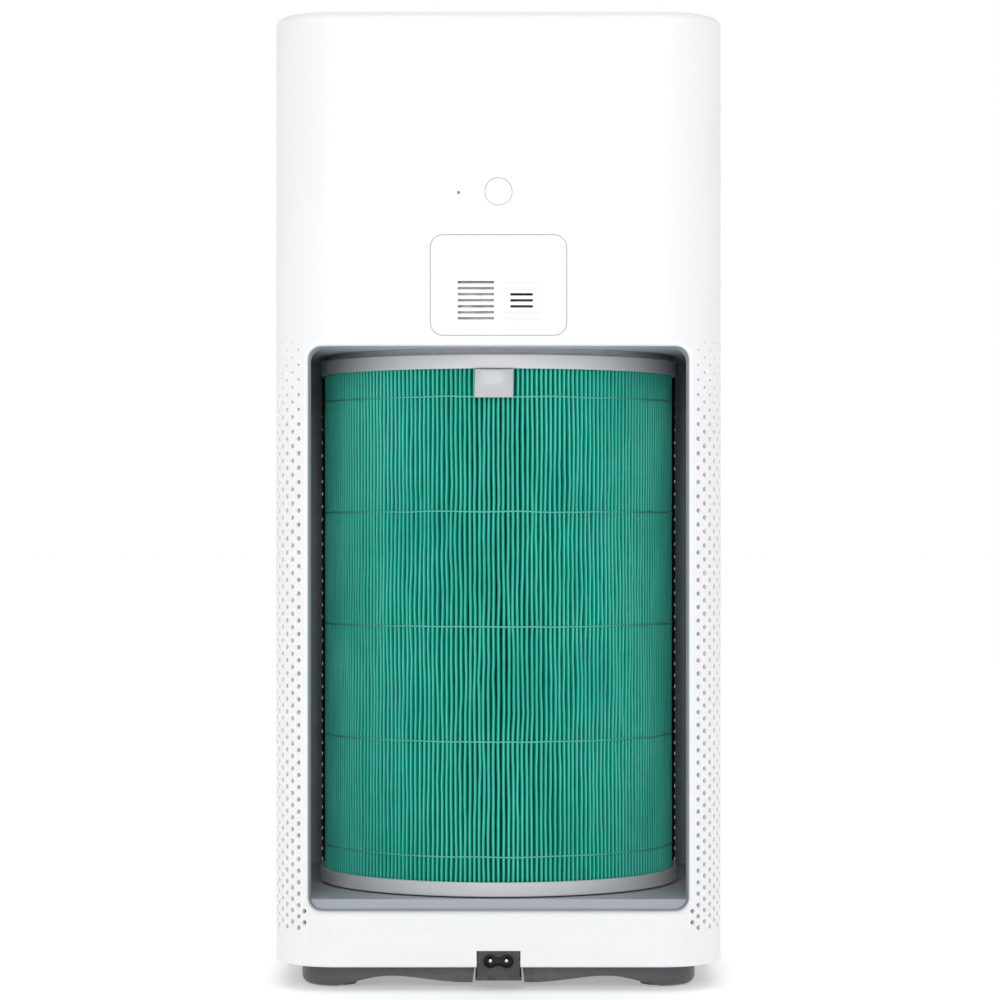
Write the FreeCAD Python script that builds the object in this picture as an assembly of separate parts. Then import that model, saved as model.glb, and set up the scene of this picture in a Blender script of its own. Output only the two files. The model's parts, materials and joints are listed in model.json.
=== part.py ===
import FreeCAD, Part
import math
import os

# Tower air purifier, millimetres, +Z up. The origin is the middle of the footprint on the floor.
# The front, with the display, faces -Y. The filter bay opens to the rear, +Y.

V = FreeCAD.Vector

# ---- outer form
WIDTH = 240.0
DEPTH = 240.0
HEIGHT = 520.0
CORNER_R = 34.0
WALL = 2.5
HOUSING_BOTTOM = 12.5
TOP_EDGE_R = 4.0
BOTTOM_EDGE_R = 2.0
TOP_LIP = 10.0

# ---- filter bay
BAY_WIDTH = 202.5
BAY_HEIGHT = 300.0
BAY_BOTTOM = 42.3
BAY_CORNER_R = 7.0
LINER_WALL = 2.2
LINER_DEPTH = 30.0
PLATE = 2.2
SEAT_RISE = 4.7
SEAT_RAMP = 4.5
TONGUE_END = 17.0
TAB_SLOT_FROM = 43.6
TAB_SLOT_WIDTH = 27.2
TAB_SLOT_DEPTH = 4.5
PARTITION = 3.0

# ---- filter cartridge
FILTER_SIDE_GAP = 0.75
SEAL_LOW = 0.75
SEAL_HIGH = 3.2
SEAL_WIDTH = 18.0
SEAL_INSET = 4.0
SLIDE_GAP = 0.05
RING_HEIGHT = 7.8
RING_PLATE = 3.0
RING_SKIRT = 1.6
PLEAT_DEPTH = 27.0
CARBON = 4.5
CORE_WALL = 1.2
CORE_ROWS = 11
CORE_COLUMNS = 14
MEDIA_INSET = 2.3
GLUE_BEADS = 5
GLUE_PITCH = 61.9
GLUE_RAISED = 0.5
GLUE_HEIGHT = 1.2
TAB_WIDTH = 21.0
TAB_LENGTH = 15.5
TAB_THICK = 1.2
TAB_X = 2.4
TAB_CLEAR = 0.4
TAG_R = 12.0
TAG_THICK = 0.5

# ---- base and mains inlet
BASE_INSET = 14.0
BASE_CORNER_R = 20.0
BASE_SKIRT = 8.0
BASE_EDGE_R = 5.0
BASE_PLATE_BOTTOM = 13.0
BASE_PLATE = 3.0
FOOT_CLEAR = 0.4
ARCH_TOP = 6.0
ARCH_MIDDLE = 2.9
ARCH_START = 31.0
ARCH_CROWN = 42.0
RUBBER_R = 8.0
RUBBER_DEPTH = 2.6
FOOT_BOSS_R = 11.5
FOOT_IN = 32.0
INLET_WIDTH = 22.5
INLET_FOOT_WIDTH = 24.6
INLET_TOP = 21.0
INLET_BOTTOM = 5.5
INLET_DEPTH = 21.0
INLET_SET_BACK = 1.5
INLET_Z = 15.7
INLET_LOBE_R = 3.7
INLET_RECESS = 12.0
PIN_R = 1.2
PIN_PITCH = 8.6
PIN_LENGTH = 10.0

# ---- inner frame
FIT = 0.4
POST_R = 5.0
POST_IN_X = 10.0
POST_IN_Y = 25.0
SCREW_R = 1.5
SCREW_HEAD_R = 2.8
SCREW_HEAD = 2.0
SCREW_LENGTH = 12.0
SCREW_SLACK = 0.2
LEDGE_OUT = 9.0
LEDGE_WIDE = 14.0
LEDGE_HIGH = 12.0
LEDGE_Y = 50.0

# ---- fan
THROAT_R = 60.0
THROAT_WALL = 2.2
BELL_FLARE = 12.0
FLANGE_R = 104.0
DUCT_R = 95.0
DUCT_WALL = 2.2
DUCT_HEIGHT = 80.0
CARRIER_HEIGHT = 24.0
THROAT_HEIGHT = 14.0
EAR_R = 6.0
EAR_AT = 102.0
EAR_THICK = 6.0
EAR_ANGLES = (30.0, 150.0, 210.0, 330.0)
IMPELLER_R = 80.0
SHROUD_GAP = 1.3
SHROUD_WALL = 2.2
BLADES = 9
BLADE_FROM = 48.0
BLADE_SWEEP = 42.0
BLADE_THICK = 2.0
SHROUD_RISE = 16.0
HUB_TURN_R = 44.0
VANES = 13
VANE_TILT = 25.0
VANE_HEIGHT = 17.0
HUB_CUP_R = 78.0
DOME_RISE = 22.0

# ---- motor
SHAFT_R = 4.0
BEARING_R = 8.0
BEARING_HEIGHT = 5.0
BEARING_FIT = 0.03
TUBE_R = 9.5
STATOR_R = 34.0
STATOR_HEIGHT = 18.0
TEETH = 12
MAGNET_GAP = 0.6
MAGNET = 2.6
CAN_WALL = 1.3
CAN_HEIGHT = 29.0
NUT_FLATS = 13.0
NUT_HEIGHT = 6.0

# ---- outlet grille
GRILLE_R = 95.2
GRILLE_EDGE = 3.7
GRILLE_RINGS = 9
GRILLE_PITCH = 7.4
GRILLE_BAR = 2.0
GRILLE_RIBS = 12
CAP_R = 19.6
TOP_PLATE = 2.9
TOP_RAISED = 2.4

# ---- buttons, display and sensors
BUTTON_R = 7.2
BUTTON_GAP = 0.35
BUTTON_PROUD = 0.3
BUTTON_FLANGE = 1.4
BUTTON_TRAVEL = 0.8
SWITCH_SPACE = 0.2
REAR_BUTTON_Z = 424.2
LIGHT_X = 21.2
LIGHT_Z = 423.6
LIGHT_R = 0.8
DISPLAY_R = 32.0
DISPLAY_Z = 452.0
POWER_Z = 398.0
BOARD = 1.6
COVER_WIDTH = 72.3
COVER_HEIGHT = 53.3
COVER_CORNER_R = 6.7
COVER_Z = 374.6
COVER_GAP = 0.4
COVER_THICK = 2.4
SLOT_ROWS = 7
SLOT_PITCH = 3.19
SLOT_HEIGHT = 1.4
SLOT_TOP = 376.0
SENSOR_Z = 374.6
SENSOR_WIDTH = 37.0
SENSOR_HEIGHT = 48.0
SENSOR_DEPTH = 12.0
SENSOR_FAN_R = 9.5
SENSOR_FAN_X = 24.0
SENSOR_FAN_Z = 386.0
SENSOR_X = 17.5
HUMIDITY_X = -18.0
REAR_BOARD_X = 8.0
REAR_BOARD = (44.0, 24.0)
FRONT_BOARD = (40.0, 24.0)

# ---- boards in the base: low and high x, then low and high y
POWER_BOARD = (-96.0, -16.0, -66.0, 34.0)
MAIN_BOARD = (16.0, 96.0, -66.0, 24.0)
PILLAR_IN = 5.0

# ---- leads inside the housing, each a chosen route
LEAD_R = 1.6
INLET_ROUTE = [(-4.3, 97.5, 18.8), (-4.3, 78.0, 19.5), (-29.0, 57.0, 27.0), (-46.0, 32.0, 27.0)]
MOTOR_ROUTE = [(80.0, -52.0, 27.6), (85.0, -76.0, 26.6), (99.0, -103.0, 36.0), (99.0, -103.0, 441.0),
               (32.0, -33.3, 441.0)]
SHARE = 0.45

# ---- values worked out from the sizes above
SIDE = WIDTH / 2
REAR = DEPTH / 2
FRONT = -DEPTH / 2
INNER_X = SIDE - WALL
INNER_Y = REAR - WALL
INNER_R = CORNER_R - WALL
BASE_TOP = BASE_PLATE_BOTTOM + BASE_PLATE
BAY_TOP = BAY_BOTTOM + BAY_HEIGHT
BAY_HALF = BAY_WIDTH / 2
LINER_END = INNER_Y - LINER_DEPTH
SEAT_TOP = BAY_BOTTOM + SEAT_RISE
TRAY_BOTTOM = SEAT_TOP - PLATE
FILTER_R = BAY_HALF - FILTER_SIDE_GAP
FILTER_BOTTOM = SEAT_TOP + SEAL_LOW + SLIDE_GAP
FILTER_TOP = BAY_TOP - SEAL_HIGH - SLIDE_GAP
MEDIA_R = FILTER_R - MEDIA_INSET
CARBON_R = MEDIA_R - PLEAT_DEPTH
CORE_R = CARBON_R - CARBON - CORE_WALL
PARTITION_BOTTOM = BAY_TOP
PARTITION_TOP = PARTITION_BOTTOM + PARTITION
FLANGE_TOP = PARTITION_TOP + THROAT_WALL
THROAT_TOP = FLANGE_TOP + THROAT_HEIGHT
DUCT_TOP = FLANGE_TOP + DUCT_HEIGHT
CARRIER_TOP = DUCT_TOP + CARRIER_HEIGHT
DUCT_OUT = DUCT_R + DUCT_WALL
BELL_R = THROAT_R + BELL_FLARE
SHROUD_R = THROAT_R + THROAT_WALL + SHROUD_GAP
BLADE_LOW = THROAT_TOP + 4.0
HUB_LOW = BLADE_LOW + 20.0
HUB_HIGH = HUB_LOW + 34.0
CAN_BOTTOM = HUB_LOW + 3.0
TOP_LEDGE = HEIGHT - WALL
FRAME_FLANGE = TOP_LEDGE - 0.1
FRAME_BOTTOM = FRAME_FLANGE - TOP_PLATE
POST_X = SIDE - POST_IN_X
POST_Y = REAR - POST_IN_Y
POSTS = [(x, y) for x in (-POST_X, POST_X) for y in (-POST_Y, POST_Y)]
INLET_FACE = REAR - INLET_SET_BACK
INLET_BACK = INLET_FACE - INLET_DEPTH


# ---- solids used by many sub-parts
def block(x0, x1, y0, y1, z0, z1):
    return Part.makeBox(x1 - x0, y1 - y0, z1 - z0, V(x0, y0, z0))


def rod(radius, z0, z1, x=0.0, y=0.0):
    return Part.makeCylinder(radius, z1 - z0, V(x, y, z0), V(0, 0, 1))


def rod_y(radius, y0, y1, x, z):
    low, high = min(y0, y1), max(y0, y1)
    return Part.makeCylinder(radius, high - low, V(x, low, z), V(0, 1, 0))


def tube(outer, inner, z0, z1):
    return rod(outer, z0, z1).cut(rod(inner, z0 - 1, z1 + 1))


def rounded_face(half_x, half_y, radius):
    corners = [(half_x, half_y, 0), (-half_x, half_y, 90), (-half_x, -half_y, 180), (half_x, -half_y, 270)]
    edges = []
    last = None
    first = None
    for cx, cy, start in corners:
        centre = V(cx - math.copysign(radius, cx), cy - math.copysign(radius, cy), 0)
        arc = Part.Edge(Part.Circle(centre, V(0, 0, 1), radius), math.radians(start), math.radians(start + 90))
        begin, end = arc.Vertexes[0].Point, arc.Vertexes[-1].Point
        if last is not None:
            edges.append(Part.makeLine(last, begin))
        else:
            first = begin
        edges.append(arc)
        last = end
    edges.append(Part.makeLine(last, first))
    return Part.Face(Part.Wire(edges))


def rounded_block(half_x, half_y, radius, z0, z1):
    shape = rounded_face(half_x, half_y, radius).extrude(V(0, 0, z1 - z0))
    shape.translate(V(0, 0, z0))
    return shape


def rounded_slab(width, height, radius, y0, y1, x, z):
    """A rounded rectangle that stands in XZ, from y0 to y1, about the middle (x, z)."""
    shape = rounded_face(width / 2, height / 2, radius).extrude(V(0, 0, y1 - y0))
    shape.rotate(V(0, 0, 0), V(1, 0, 0), 90)
    shape.translate(V(x, y1, z))
    return shape


def turned(points):
    """A solid of revolution about Z from (radius, height) points."""
    wire = Part.makePolygon([V(r, 0, z) for r, z in points] + [V(points[0][0], 0, points[0][1])])
    return Part.Face(wire).revolve(V(0, 0, 0), V(0, 0, 1), 360)


def joined(shapes):
    shape = shapes[0]
    if len(shapes) > 1:
        shape = shape.multiFuse(shapes[1:])
    return shape.removeSplitter()


def group(shapes):
    return Part.makeCompound(shapes)


def around(shape, count, start=0.0):
    copies = []
    for k in range(count):
        copy = shape.copy()
        copy.rotate(V(0, 0, 0), V(0, 0, 1), start + 360.0 * k / count)
        copies.append(copy)
    return copies


def on_circle(radius, angle):
    turn = math.radians(angle)
    return radius * math.cos(turn), radius * math.sin(turn)


def save(name, shape):
    if shape.ShapeType == "Compound" and len(shape.Solids) == 1:
        shape = shape.Solids[0]
    if not shape.isValid():
        print("not valid:", name)
    print("%-24s %3d solid(s) %10.1f mm3" % (name, len(shape.Solids), shape.Volume))
    shape.exportStep("parts/" + name + ".step")


def edges_at(shape, height, half_x, half_y):
    """The outline edges at one height whose middle lies on or near the outer faces."""
    found = []
    for edge in shape.Edges:
        box = edge.BoundBox
        if abs(box.ZMin - height) > 0.01 or abs(box.ZMax - height) > 0.01:
            continue
        reach = max(abs(box.XMin), abs(box.XMax)) / half_x, max(abs(box.YMin), abs(box.YMax)) / half_y
        if max(reach) > 0.999:
            found.append(edge)
    return found


# ---- housing and top
def outer_housing():
    shape = rounded_block(SIDE, REAR, CORNER_R, HOUSING_BOTTOM, HEIGHT)
    shape = shape.makeFillet(TOP_EDGE_R, edges_at(shape, HEIGHT, SIDE, REAR))
    shape = shape.makeFillet(BOTTOM_EDGE_R, edges_at(shape, HOUSING_BOTTOM, SIDE, REAR))
    hollow = rounded_block(INNER_X, INNER_Y, INNER_R, HOUSING_BOTTOM - 1, TOP_LEDGE)
    hollow = hollow.makeFillet(TOP_EDGE_R - 1.5, edges_at(hollow, TOP_LEDGE, INNER_X, INNER_Y))
    mouth = rounded_block(SIDE - TOP_LIP, REAR - TOP_LIP, CORNER_R - TOP_LIP, TOP_LEDGE - 1, HEIGHT + 1)
    shape = shape.cut(hollow).cut(mouth)
    bay_middle = BAY_BOTTOM + BAY_HEIGHT / 2
    cuts = [
        rounded_slab(BAY_WIDTH, BAY_HEIGHT, BAY_CORNER_R, REAR - CORNER_R, REAR + 1, 0, bay_middle),
        rounded_slab(COVER_WIDTH + 2 * COVER_GAP, COVER_HEIGHT + 2 * COVER_GAP,
                     COVER_CORNER_R + COVER_GAP, INNER_Y - 1, REAR + 1, 0, COVER_Z),
        rod_y(BUTTON_R + BUTTON_GAP, INNER_Y - 1, REAR + 1, 0, REAR_BUTTON_Z),
        rod_y(LIGHT_R + 0.05, INNER_Y - 1, REAR + 1, LIGHT_X, LIGHT_Z),
        rod_y(DISPLAY_R + BUTTON_GAP, FRONT - 1, -INNER_Y + 1, 0, DISPLAY_Z),
        rod_y(BUTTON_R + BUTTON_GAP, FRONT - 1, -INNER_Y + 1, 0, POWER_Z),
        block(-INLET_WIDTH / 2 - FIT, INLET_WIDTH / 2 + FIT, INNER_Y - 1, REAR + 1,
              HOUSING_BOTTOM - 1, INLET_TOP + FIT),
    ]
    shape = shape.cut(cuts)
    ledges = []
    for x in (-1, 1):
        for y in (-LEDGE_Y, LEDGE_Y):
            inner, outer = sorted((x * (INNER_X - LEDGE_OUT), x * (INNER_X + 0.5)))
            ledge = block(inner, outer, y - LEDGE_WIDE / 2, y + LEDGE_WIDE / 2, BASE_TOP, BASE_TOP + LEDGE_HIGH)
            ledges.append(ledge.cut(screw_hole(x * ledge_screw_x(), y, BASE_TOP, LEDGE_HIGH)))
    return joined([shape] + ledges)


def ledge_screw_x():
    return INNER_X - LEDGE_OUT / 2


def screw_hole(x, y, z, depth):
    return rod(SCREW_R, z - 1, z + min(depth, SCREW_LENGTH) - 1, x, y)


def screw(x, y, z, up=True):
    """A screw whose head bears on the face at z; up says which way it goes in."""
    if up:
        head = rod(SCREW_HEAD_R, z - SCREW_HEAD, z, x, y)
        shank = rod(SCREW_R, z, z + SCREW_LENGTH, x, y)
    else:
        head = rod(SCREW_HEAD_R, z, z + SCREW_HEAD, x, y)
        shank = rod(SCREW_R, z - SCREW_LENGTH, z, x, y)
    return joined([head, shank])


def top_frame():
    gap = FIT
    flange = rounded_block(INNER_X - gap, INNER_Y - gap, INNER_R - gap, FRAME_BOTTOM, FRAME_FLANGE)
    flange = flange.makeChamfer(TOP_EDGE_R - 1.6, edges_at(flange, FRAME_FLANGE, INNER_X - gap, INNER_Y - gap))
    raised = rounded_block(SIDE - TOP_LIP - gap, REAR - TOP_LIP - gap, CORNER_R - TOP_LIP - gap,
                           FRAME_FLANGE - 0.5, FRAME_FLANGE - 0.1 + TOP_RAISED)
    shape = joined([flange, raised])
    shape = shape.cut(rod(GRILLE_R + 0.3, FRAME_BOTTOM - 1, HEIGHT + 1))
    for x, y in POSTS:
        shape = shape.cut(rod(SCREW_R + SCREW_SLACK, FRAME_BOTTOM - 1, HEIGHT, x, y))
        shape = shape.cut(rod(SCREW_HEAD_R + SCREW_SLACK, FRAME_FLANGE - SCREW_HEAD - 0.3, HEIGHT, x, y))
    return shape


def outlet_grille():
    low = FRAME_BOTTOM - 1.4
    high = HEIGHT - 0.6
    shapes = [tube(GRILLE_R, GRILLE_R - GRILLE_EDGE, low, high)]
    for k in range(GRILLE_RINGS):
        middle = CAP_R + 5.4 + GRILLE_PITCH * k
        shapes.append(tube(middle + GRILLE_BAR / 2, middle - GRILLE_BAR / 2, low + 1.8, high - 1.2))
    shapes.append(tube(CAP_R + 2.6, CAP_R + 0.1, low + 1.0, high))
    rib = block(CAP_R + 1.0, GRILLE_R - 1.0, -1.1, 1.1, low + 0.6, high - 2.4)
    return joined(shapes + around(rib, GRILLE_RIBS))


def grille_hub_cap():
    low = FRAME_BOTTOM - 0.4
    high = HEIGHT - 0.4
    edge = 1.6
    points = [(0, low), (CAP_R - 1.5, low), (CAP_R, low + 1), (CAP_R, high - edge), (CAP_R - edge, high - 0.5),
              (CAP_R * 0.6, high), (0, high)]
    return turned(points)


def posts(z0, z1):
    shapes = []
    for x, y in POSTS:
        post = rod(POST_R, z0, z1, x, y)
        shapes.append(post.cut(rod(SCREW_R, z0 - 1, z0 + 16, x, y)).cut(rod(SCREW_R, z1 - 16, z1 + 1, x, y)))
    return group(shapes)


# ---- base
def arch_cut(half_length, reach):
    """The space under the arch of one pair of sides, as a solid along Y."""
    end = half_length - ARCH_START + 14.0
    crown = half_length - ARCH_CROWN
    middle = INLET_FOOT_WIDTH / 2 + 1.2
    right = Part.BSplineCurve()
    rise = (end + crown) / 2
    right.interpolate([V(middle, 0, ARCH_MIDDLE), V((middle + crown) / 2, 0, (ARCH_MIDDLE + ARCH_TOP) / 2 + 0.3),
                       V(crown, 0, ARCH_TOP), V(rise + 1.0, 0, ARCH_TOP / 2), V(end, 0, 0.0)])
    left = Part.BSplineCurve()
    left.interpolate([V(-end, 0, 0.0), V(-rise - 1.0, 0, ARCH_TOP / 2), V(-crown, 0, ARCH_TOP),
                      V(-(middle + crown) / 2, 0, (ARCH_MIDDLE + ARCH_TOP) / 2 + 0.3), V(-middle, 0, ARCH_MIDDLE)])
    edges = [left.toShape(), Part.makeLine(V(-middle, 0, ARCH_MIDDLE), V(middle, 0, ARCH_MIDDLE)), right.toShape(),
             Part.makeLine(V(end, 0, 0), V(end, 0, -2)), Part.makeLine(V(end, 0, -2), V(-end, 0, -2)),
             Part.makeLine(V(-end, 0, -2), V(-end, 0, 0))]
    cut = Part.Face(Part.Wire(edges)).extrude(V(0, 2 * reach, 0))
    cut.translate(V(0, -reach, 0))
    return cut


def base_plate():
    half_x = SIDE - BASE_INSET
    half_y = REAR - BASE_INSET
    shape = rounded_block(half_x, half_y, BASE_CORNER_R, FOOT_CLEAR, BASE_TOP - 1)
    shape = shape.makeFillet(BASE_EDGE_R, edges_at(shape, FOOT_CLEAR, half_x, half_y))
    pocket = rounded_block(half_x - BASE_SKIRT, half_y - BASE_SKIRT, BASE_CORNER_R - BASE_SKIRT,
                           -1, BASE_PLATE_BOTTOM)
    shape = shape.cut(pocket)
    bosses = [rod(FOOT_BOSS_R, FOOT_CLEAR, BASE_TOP - 1, x, y) for x, y in feet()]
    plate = rounded_block(INNER_X - FIT, INNER_Y - FIT, INNER_R - FIT, BASE_PLATE_BOTTOM, BASE_TOP)
    pillars = [rod(3.0, BASE_TOP - 1, board_level(), x, y) for x, y in board_pillars()]
    shape = joined([shape, plate] + bosses + pillars)
    along = arch_cut(half_x, half_y + 1)
    across = arch_cut(half_y, half_x + 1)
    across.rotate(V(0, 0, 0), V(0, 0, 1), 90)
    across = across.cut(block(-half_x + BASE_SKIRT, half_x - BASE_SKIRT, -REAR, REAR, -3, BASE_TOP))
    along = along.cut(block(-SIDE, SIDE, -half_y + BASE_SKIRT, half_y - BASE_SKIRT, -3, BASE_TOP))
    shape = shape.cut([along, across])
    gap = INLET_FOOT_WIDTH / 2 + FIT
    notch = Part.Face(Part.makePolygon([V(-gap - 1.6, 0, -1), V(-gap, 0, BASE_PLATE_BOTTOM),
                                        V(-gap, 0, BASE_TOP + 1), V(gap, 0, BASE_TOP + 1),
                                        V(gap, 0, BASE_PLATE_BOTTOM), V(gap + 1.6, 0, -1), V(-gap - 1.6, 0, -1)]))
    notch = notch.extrude(V(0, REAR - INLET_BACK + 2, 0))
    notch.translate(V(0, INLET_BACK - FIT, 0))
    cuts = [notch]
    cuts += [rod(RUBBER_R, -1, RUBBER_DEPTH, x, y) for x, y in feet()]
    cuts += [rod(SCREW_R + SCREW_SLACK, 0, BASE_TOP + 1, x, y) for x, y in base_screw_places()]
    cuts += [rod(SCREW_R, board_level() - 8, board_level() + 1, x, y) for x, y in board_pillars()]
    return shape.cut(cuts)


def feet():
    x = SIDE - FOOT_IN
    y = REAR - FOOT_IN
    return [(-x, -y), (x, -y), (-x, y), (x, y)]


def rubber_feet():
    shapes = []
    for x, y in feet():
        foot = rod(RUBBER_R - 0.1, 0, RUBBER_DEPTH, x, y)
        edge = [e for e in foot.Edges if abs(e.BoundBox.ZMax) < 0.01]
        shapes.append(foot.makeFillet(0.35, edge))
    return group(shapes)


def base_screw_places():
    ledge = ledge_screw_x()
    return POSTS + [(x, y) for x in (-ledge, ledge) for y in (-LEDGE_Y, LEDGE_Y)]


def frame_screws():
    """The same screw everywhere: up through the base, and down through the top frame."""
    low = [screw(x, y, BASE_PLATE_BOTTOM) for x, y in base_screw_places()]
    high = [screw(x, y, FRAME_FLANGE - SCREW_HEAD - 0.3, up=False) for x, y in POSTS]
    return group(low + high)


def figure_eight(y0, y1, grow=0.0):
    """The two-lobed recess of a small two-pin mains inlet."""
    half = PIN_PITCH / 2
    lobes = [rod_y(INLET_LOBE_R + grow, y0, y1, x, INLET_Z) for x in (-half, half)]
    waist = block(-half, half, y0, y1, INLET_Z - INLET_LOBE_R * 0.68 - grow, INLET_Z + INLET_LOBE_R * 0.68 + grow)
    return joined(lobes + [waist])


def inlet_socket():
    half = INLET_WIDTH / 2
    body = block(-half, half, INLET_BACK, INLET_FACE, INLET_BOTTOM, INLET_TOP)
    wide = INLET_FOOT_WIDTH / 2
    foot = block(-wide, wide, INLET_BACK, INLET_FACE, INLET_BOTTOM, INLET_BOTTOM + 1.8)
    cheek = block(-wide, wide, INLET_BACK, REAR - BASE_INSET - 1.0, INLET_BOTTOM, BASE_PLATE_BOTTOM - 0.5)
    shape = joined([body, foot, cheek])
    shape = shape.cut(figure_eight(INLET_FACE - INLET_RECESS, INLET_FACE + 1))
    return shape.cut([rod_y(PIN_R, INLET_BACK - 1, INLET_FACE, x * PIN_PITCH / 2, INLET_Z) for x in (-1, 1)])


def inlet_pins():
    tip = INLET_FACE - INLET_RECESS + PIN_LENGTH
    shapes = []
    for x in (-PIN_PITCH / 2, PIN_PITCH / 2):
        pin = rod_y(PIN_R, INLET_BACK, tip, x, INLET_Z)
        edge = [e for e in pin.Edges if abs(e.BoundBox.YMin - tip) < 0.01]
        shapes.append(pin.makeFillet(0.7, edge))
    return group(shapes)


# ---- boards in the base
def board_level():
    return BASE_TOP + 6.0


def board_corners(board):
    x0, x1, y0, y1 = board
    return [(x, y) for x in (x0 + PILLAR_IN, x1 - PILLAR_IN) for y in (y0 + PILLAR_IN, y1 - PILLAR_IN)]


def board_pillars():
    return board_corners(POWER_BOARD) + board_corners(MAIN_BOARD)


def circuit_board(board):
    x0, x1, y0, y1 = board
    shape = block(x0, x1, y0, y1, board_level(), board_level() + BOARD)
    places = board_corners(board)
    return shape.cut([rod(SCREW_R + SCREW_SLACK, board_level() - 1, board_level() + 4, x, y) for x, y in places])


def board_screws():
    shapes = []
    for x, y in board_pillars():
        top = board_level() + BOARD
        head = rod(SCREW_HEAD_R, top, top + SCREW_HEAD, x, y)
        shapes.append(joined([head, rod(SCREW_R, top - 8, top, x, y)]))
    return group(shapes)


def power_parts():
    z = board_level() + BOARD
    x0, x1, y0, y1 = POWER_BOARD
    shapes = [block(x0 + 12, x0 + 40, y0 + 34, y0 + 58, z, z + 18)]
    shapes += [rod(8.0, z, z + 17, x0 + 56, y0 + 46), rod(6.0, z, z + 15, x0 + 58, y0 + 26)]
    shapes += [rod(5.0, z, z + 12, x0 + 20, y0 + 20), rod(5.0, z, z + 12, x0 + 33, y0 + 20)]
    shapes += [block(x0 + 14, x0 + 40, y0 + 68, y0 + 82, z, z + 12)]
    shapes += [block(x1 - 38, x1 - 22, y1 - 12, y1 - 1, z, z + 8)]
    return group(shapes)


def main_parts():
    z = board_level() + BOARD
    x0, x1, y0, y1 = MAIN_BOARD
    shapes = [block(x0 + 30, x0 + 44, y0 + 40, y0 + 54, z, z + 1.6)]
    shapes += [block(x0 + 12, x0 + 22, y0 + 20, y0 + 40, z, z + 4)]
    shapes += [rod(4.0, z, z + 9, x0 + 50, y0 + 72), rod(4.0, z, z + 9, x0 + 62, y0 + 72)]
    lead_x, lead_y = MOTOR_ROUTE[0][0], MOTOR_ROUTE[0][1]
    shapes += [block(lead_x - 6, lead_x + 6, lead_y, lead_y + 9, z, z + 8)]
    plate = block(x0 + 50, x0 + 68, y0 + 30, y0 + 56, z, z + 1.0)
    can = block(x0 + 51, x0 + 67, y0 + 31, y0 + 48, z + 1.0, z + 3.2)
    return group(shapes + [joined([plate, can])])


# ---- internal leads, held by the housing all the way
def lead(name, points):
    """A round lead of straight runs joined by tangent arcs."""
    places = [V(*p) for p in points]
    edges = []
    begin = places[0]
    for k in range(1, len(places) - 1):
        before = places[k] - places[k - 1]
        after = places[k + 1] - places[k]
        reach = SHARE * min(before.Length, after.Length)
        turn = before.getAngle(after)
        radius = reach / math.tan(turn / 2)
        before.normalize()
        after.normalize()
        start = places[k] - before * reach
        end = places[k] + after * reach
        inward = after - before
        inward.normalize()
        middle = places[k] + inward * (radius / math.cos(turn / 2) - radius)
        edges.append(Part.makeLine(begin, start))
        edges.append(Part.Arc(start, middle, end).toShape())
        begin = end
        print("%s bend %d: radius %.1f mm" % (name, k, radius))
    edges.append(Part.makeLine(begin, places[-1]))
    path = Part.Wire(edges)
    way = places[1] - places[0]
    profile = Part.Wire([Part.makeCircle(LEAD_R, places[0], way)])
    pipe = Part.BRepOffsetAPI.MakePipeShell(path)
    pipe.add(profile)
    pipe.build()
    pipe.makeSolid()
    shape = pipe.shape()
    ratio = shape.Volume / (math.pi * LEAD_R ** 2 * path.Length)
    print("%s length %.1f mm, volume ratio %.4f" % (name, path.Length, ratio))
    return shape


def lead_hole(z0, z1):
    x, y = MOTOR_ROUTE[2][0], MOTOR_ROUTE[2][1]
    return rod(LEAD_R + 3.6, z0, z1, x, y)


def motor_connector():
    x, y, z = MOTOR_ROUTE[-1]
    turn = math.degrees(math.atan2(y, x))
    reach = math.hypot(x, y)
    shape = block(reach - 9, reach, -4.5, 4.5, DUCT_TOP + disc_rise(), z + 4)
    shape.rotate(V(0, 0, 0), V(0, 0, 1), turn)
    return shape


# ---- filter bay
def bay_frame():
    half = BAY_HALF
    middle = BAY_BOTTOM + BAY_HEIGHT / 2
    shape = rounded_slab(2 * (half + LINER_WALL), BAY_HEIGHT + 2 * LINER_WALL, BAY_CORNER_R + LINER_WALL,
                         LINER_END, INNER_Y, 0, middle)
    shape = shape.cut(rounded_slab(BAY_WIDTH, BAY_HEIGHT, BAY_CORNER_R, LINER_END - 1, INNER_Y + 1, 0, middle))
    slots = []
    for side in (-1, 1):
        x0, x1 = sorted((side * TAB_SLOT_FROM, side * (TAB_SLOT_FROM + TAB_SLOT_WIDTH)))
        slots.append(block(x0, x1, INNER_Y - TAB_SLOT_DEPTH, INNER_Y + 1, BAY_BOTTOM - LINER_WALL - 1,
                           BAY_BOTTOM + 1))
    inside = rounded_block(INNER_X - 0.05, INNER_Y, INNER_R, BAY_BOTTOM - 20, BAY_TOP + 20)
    return shape.cut(slots).common(inside)


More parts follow.
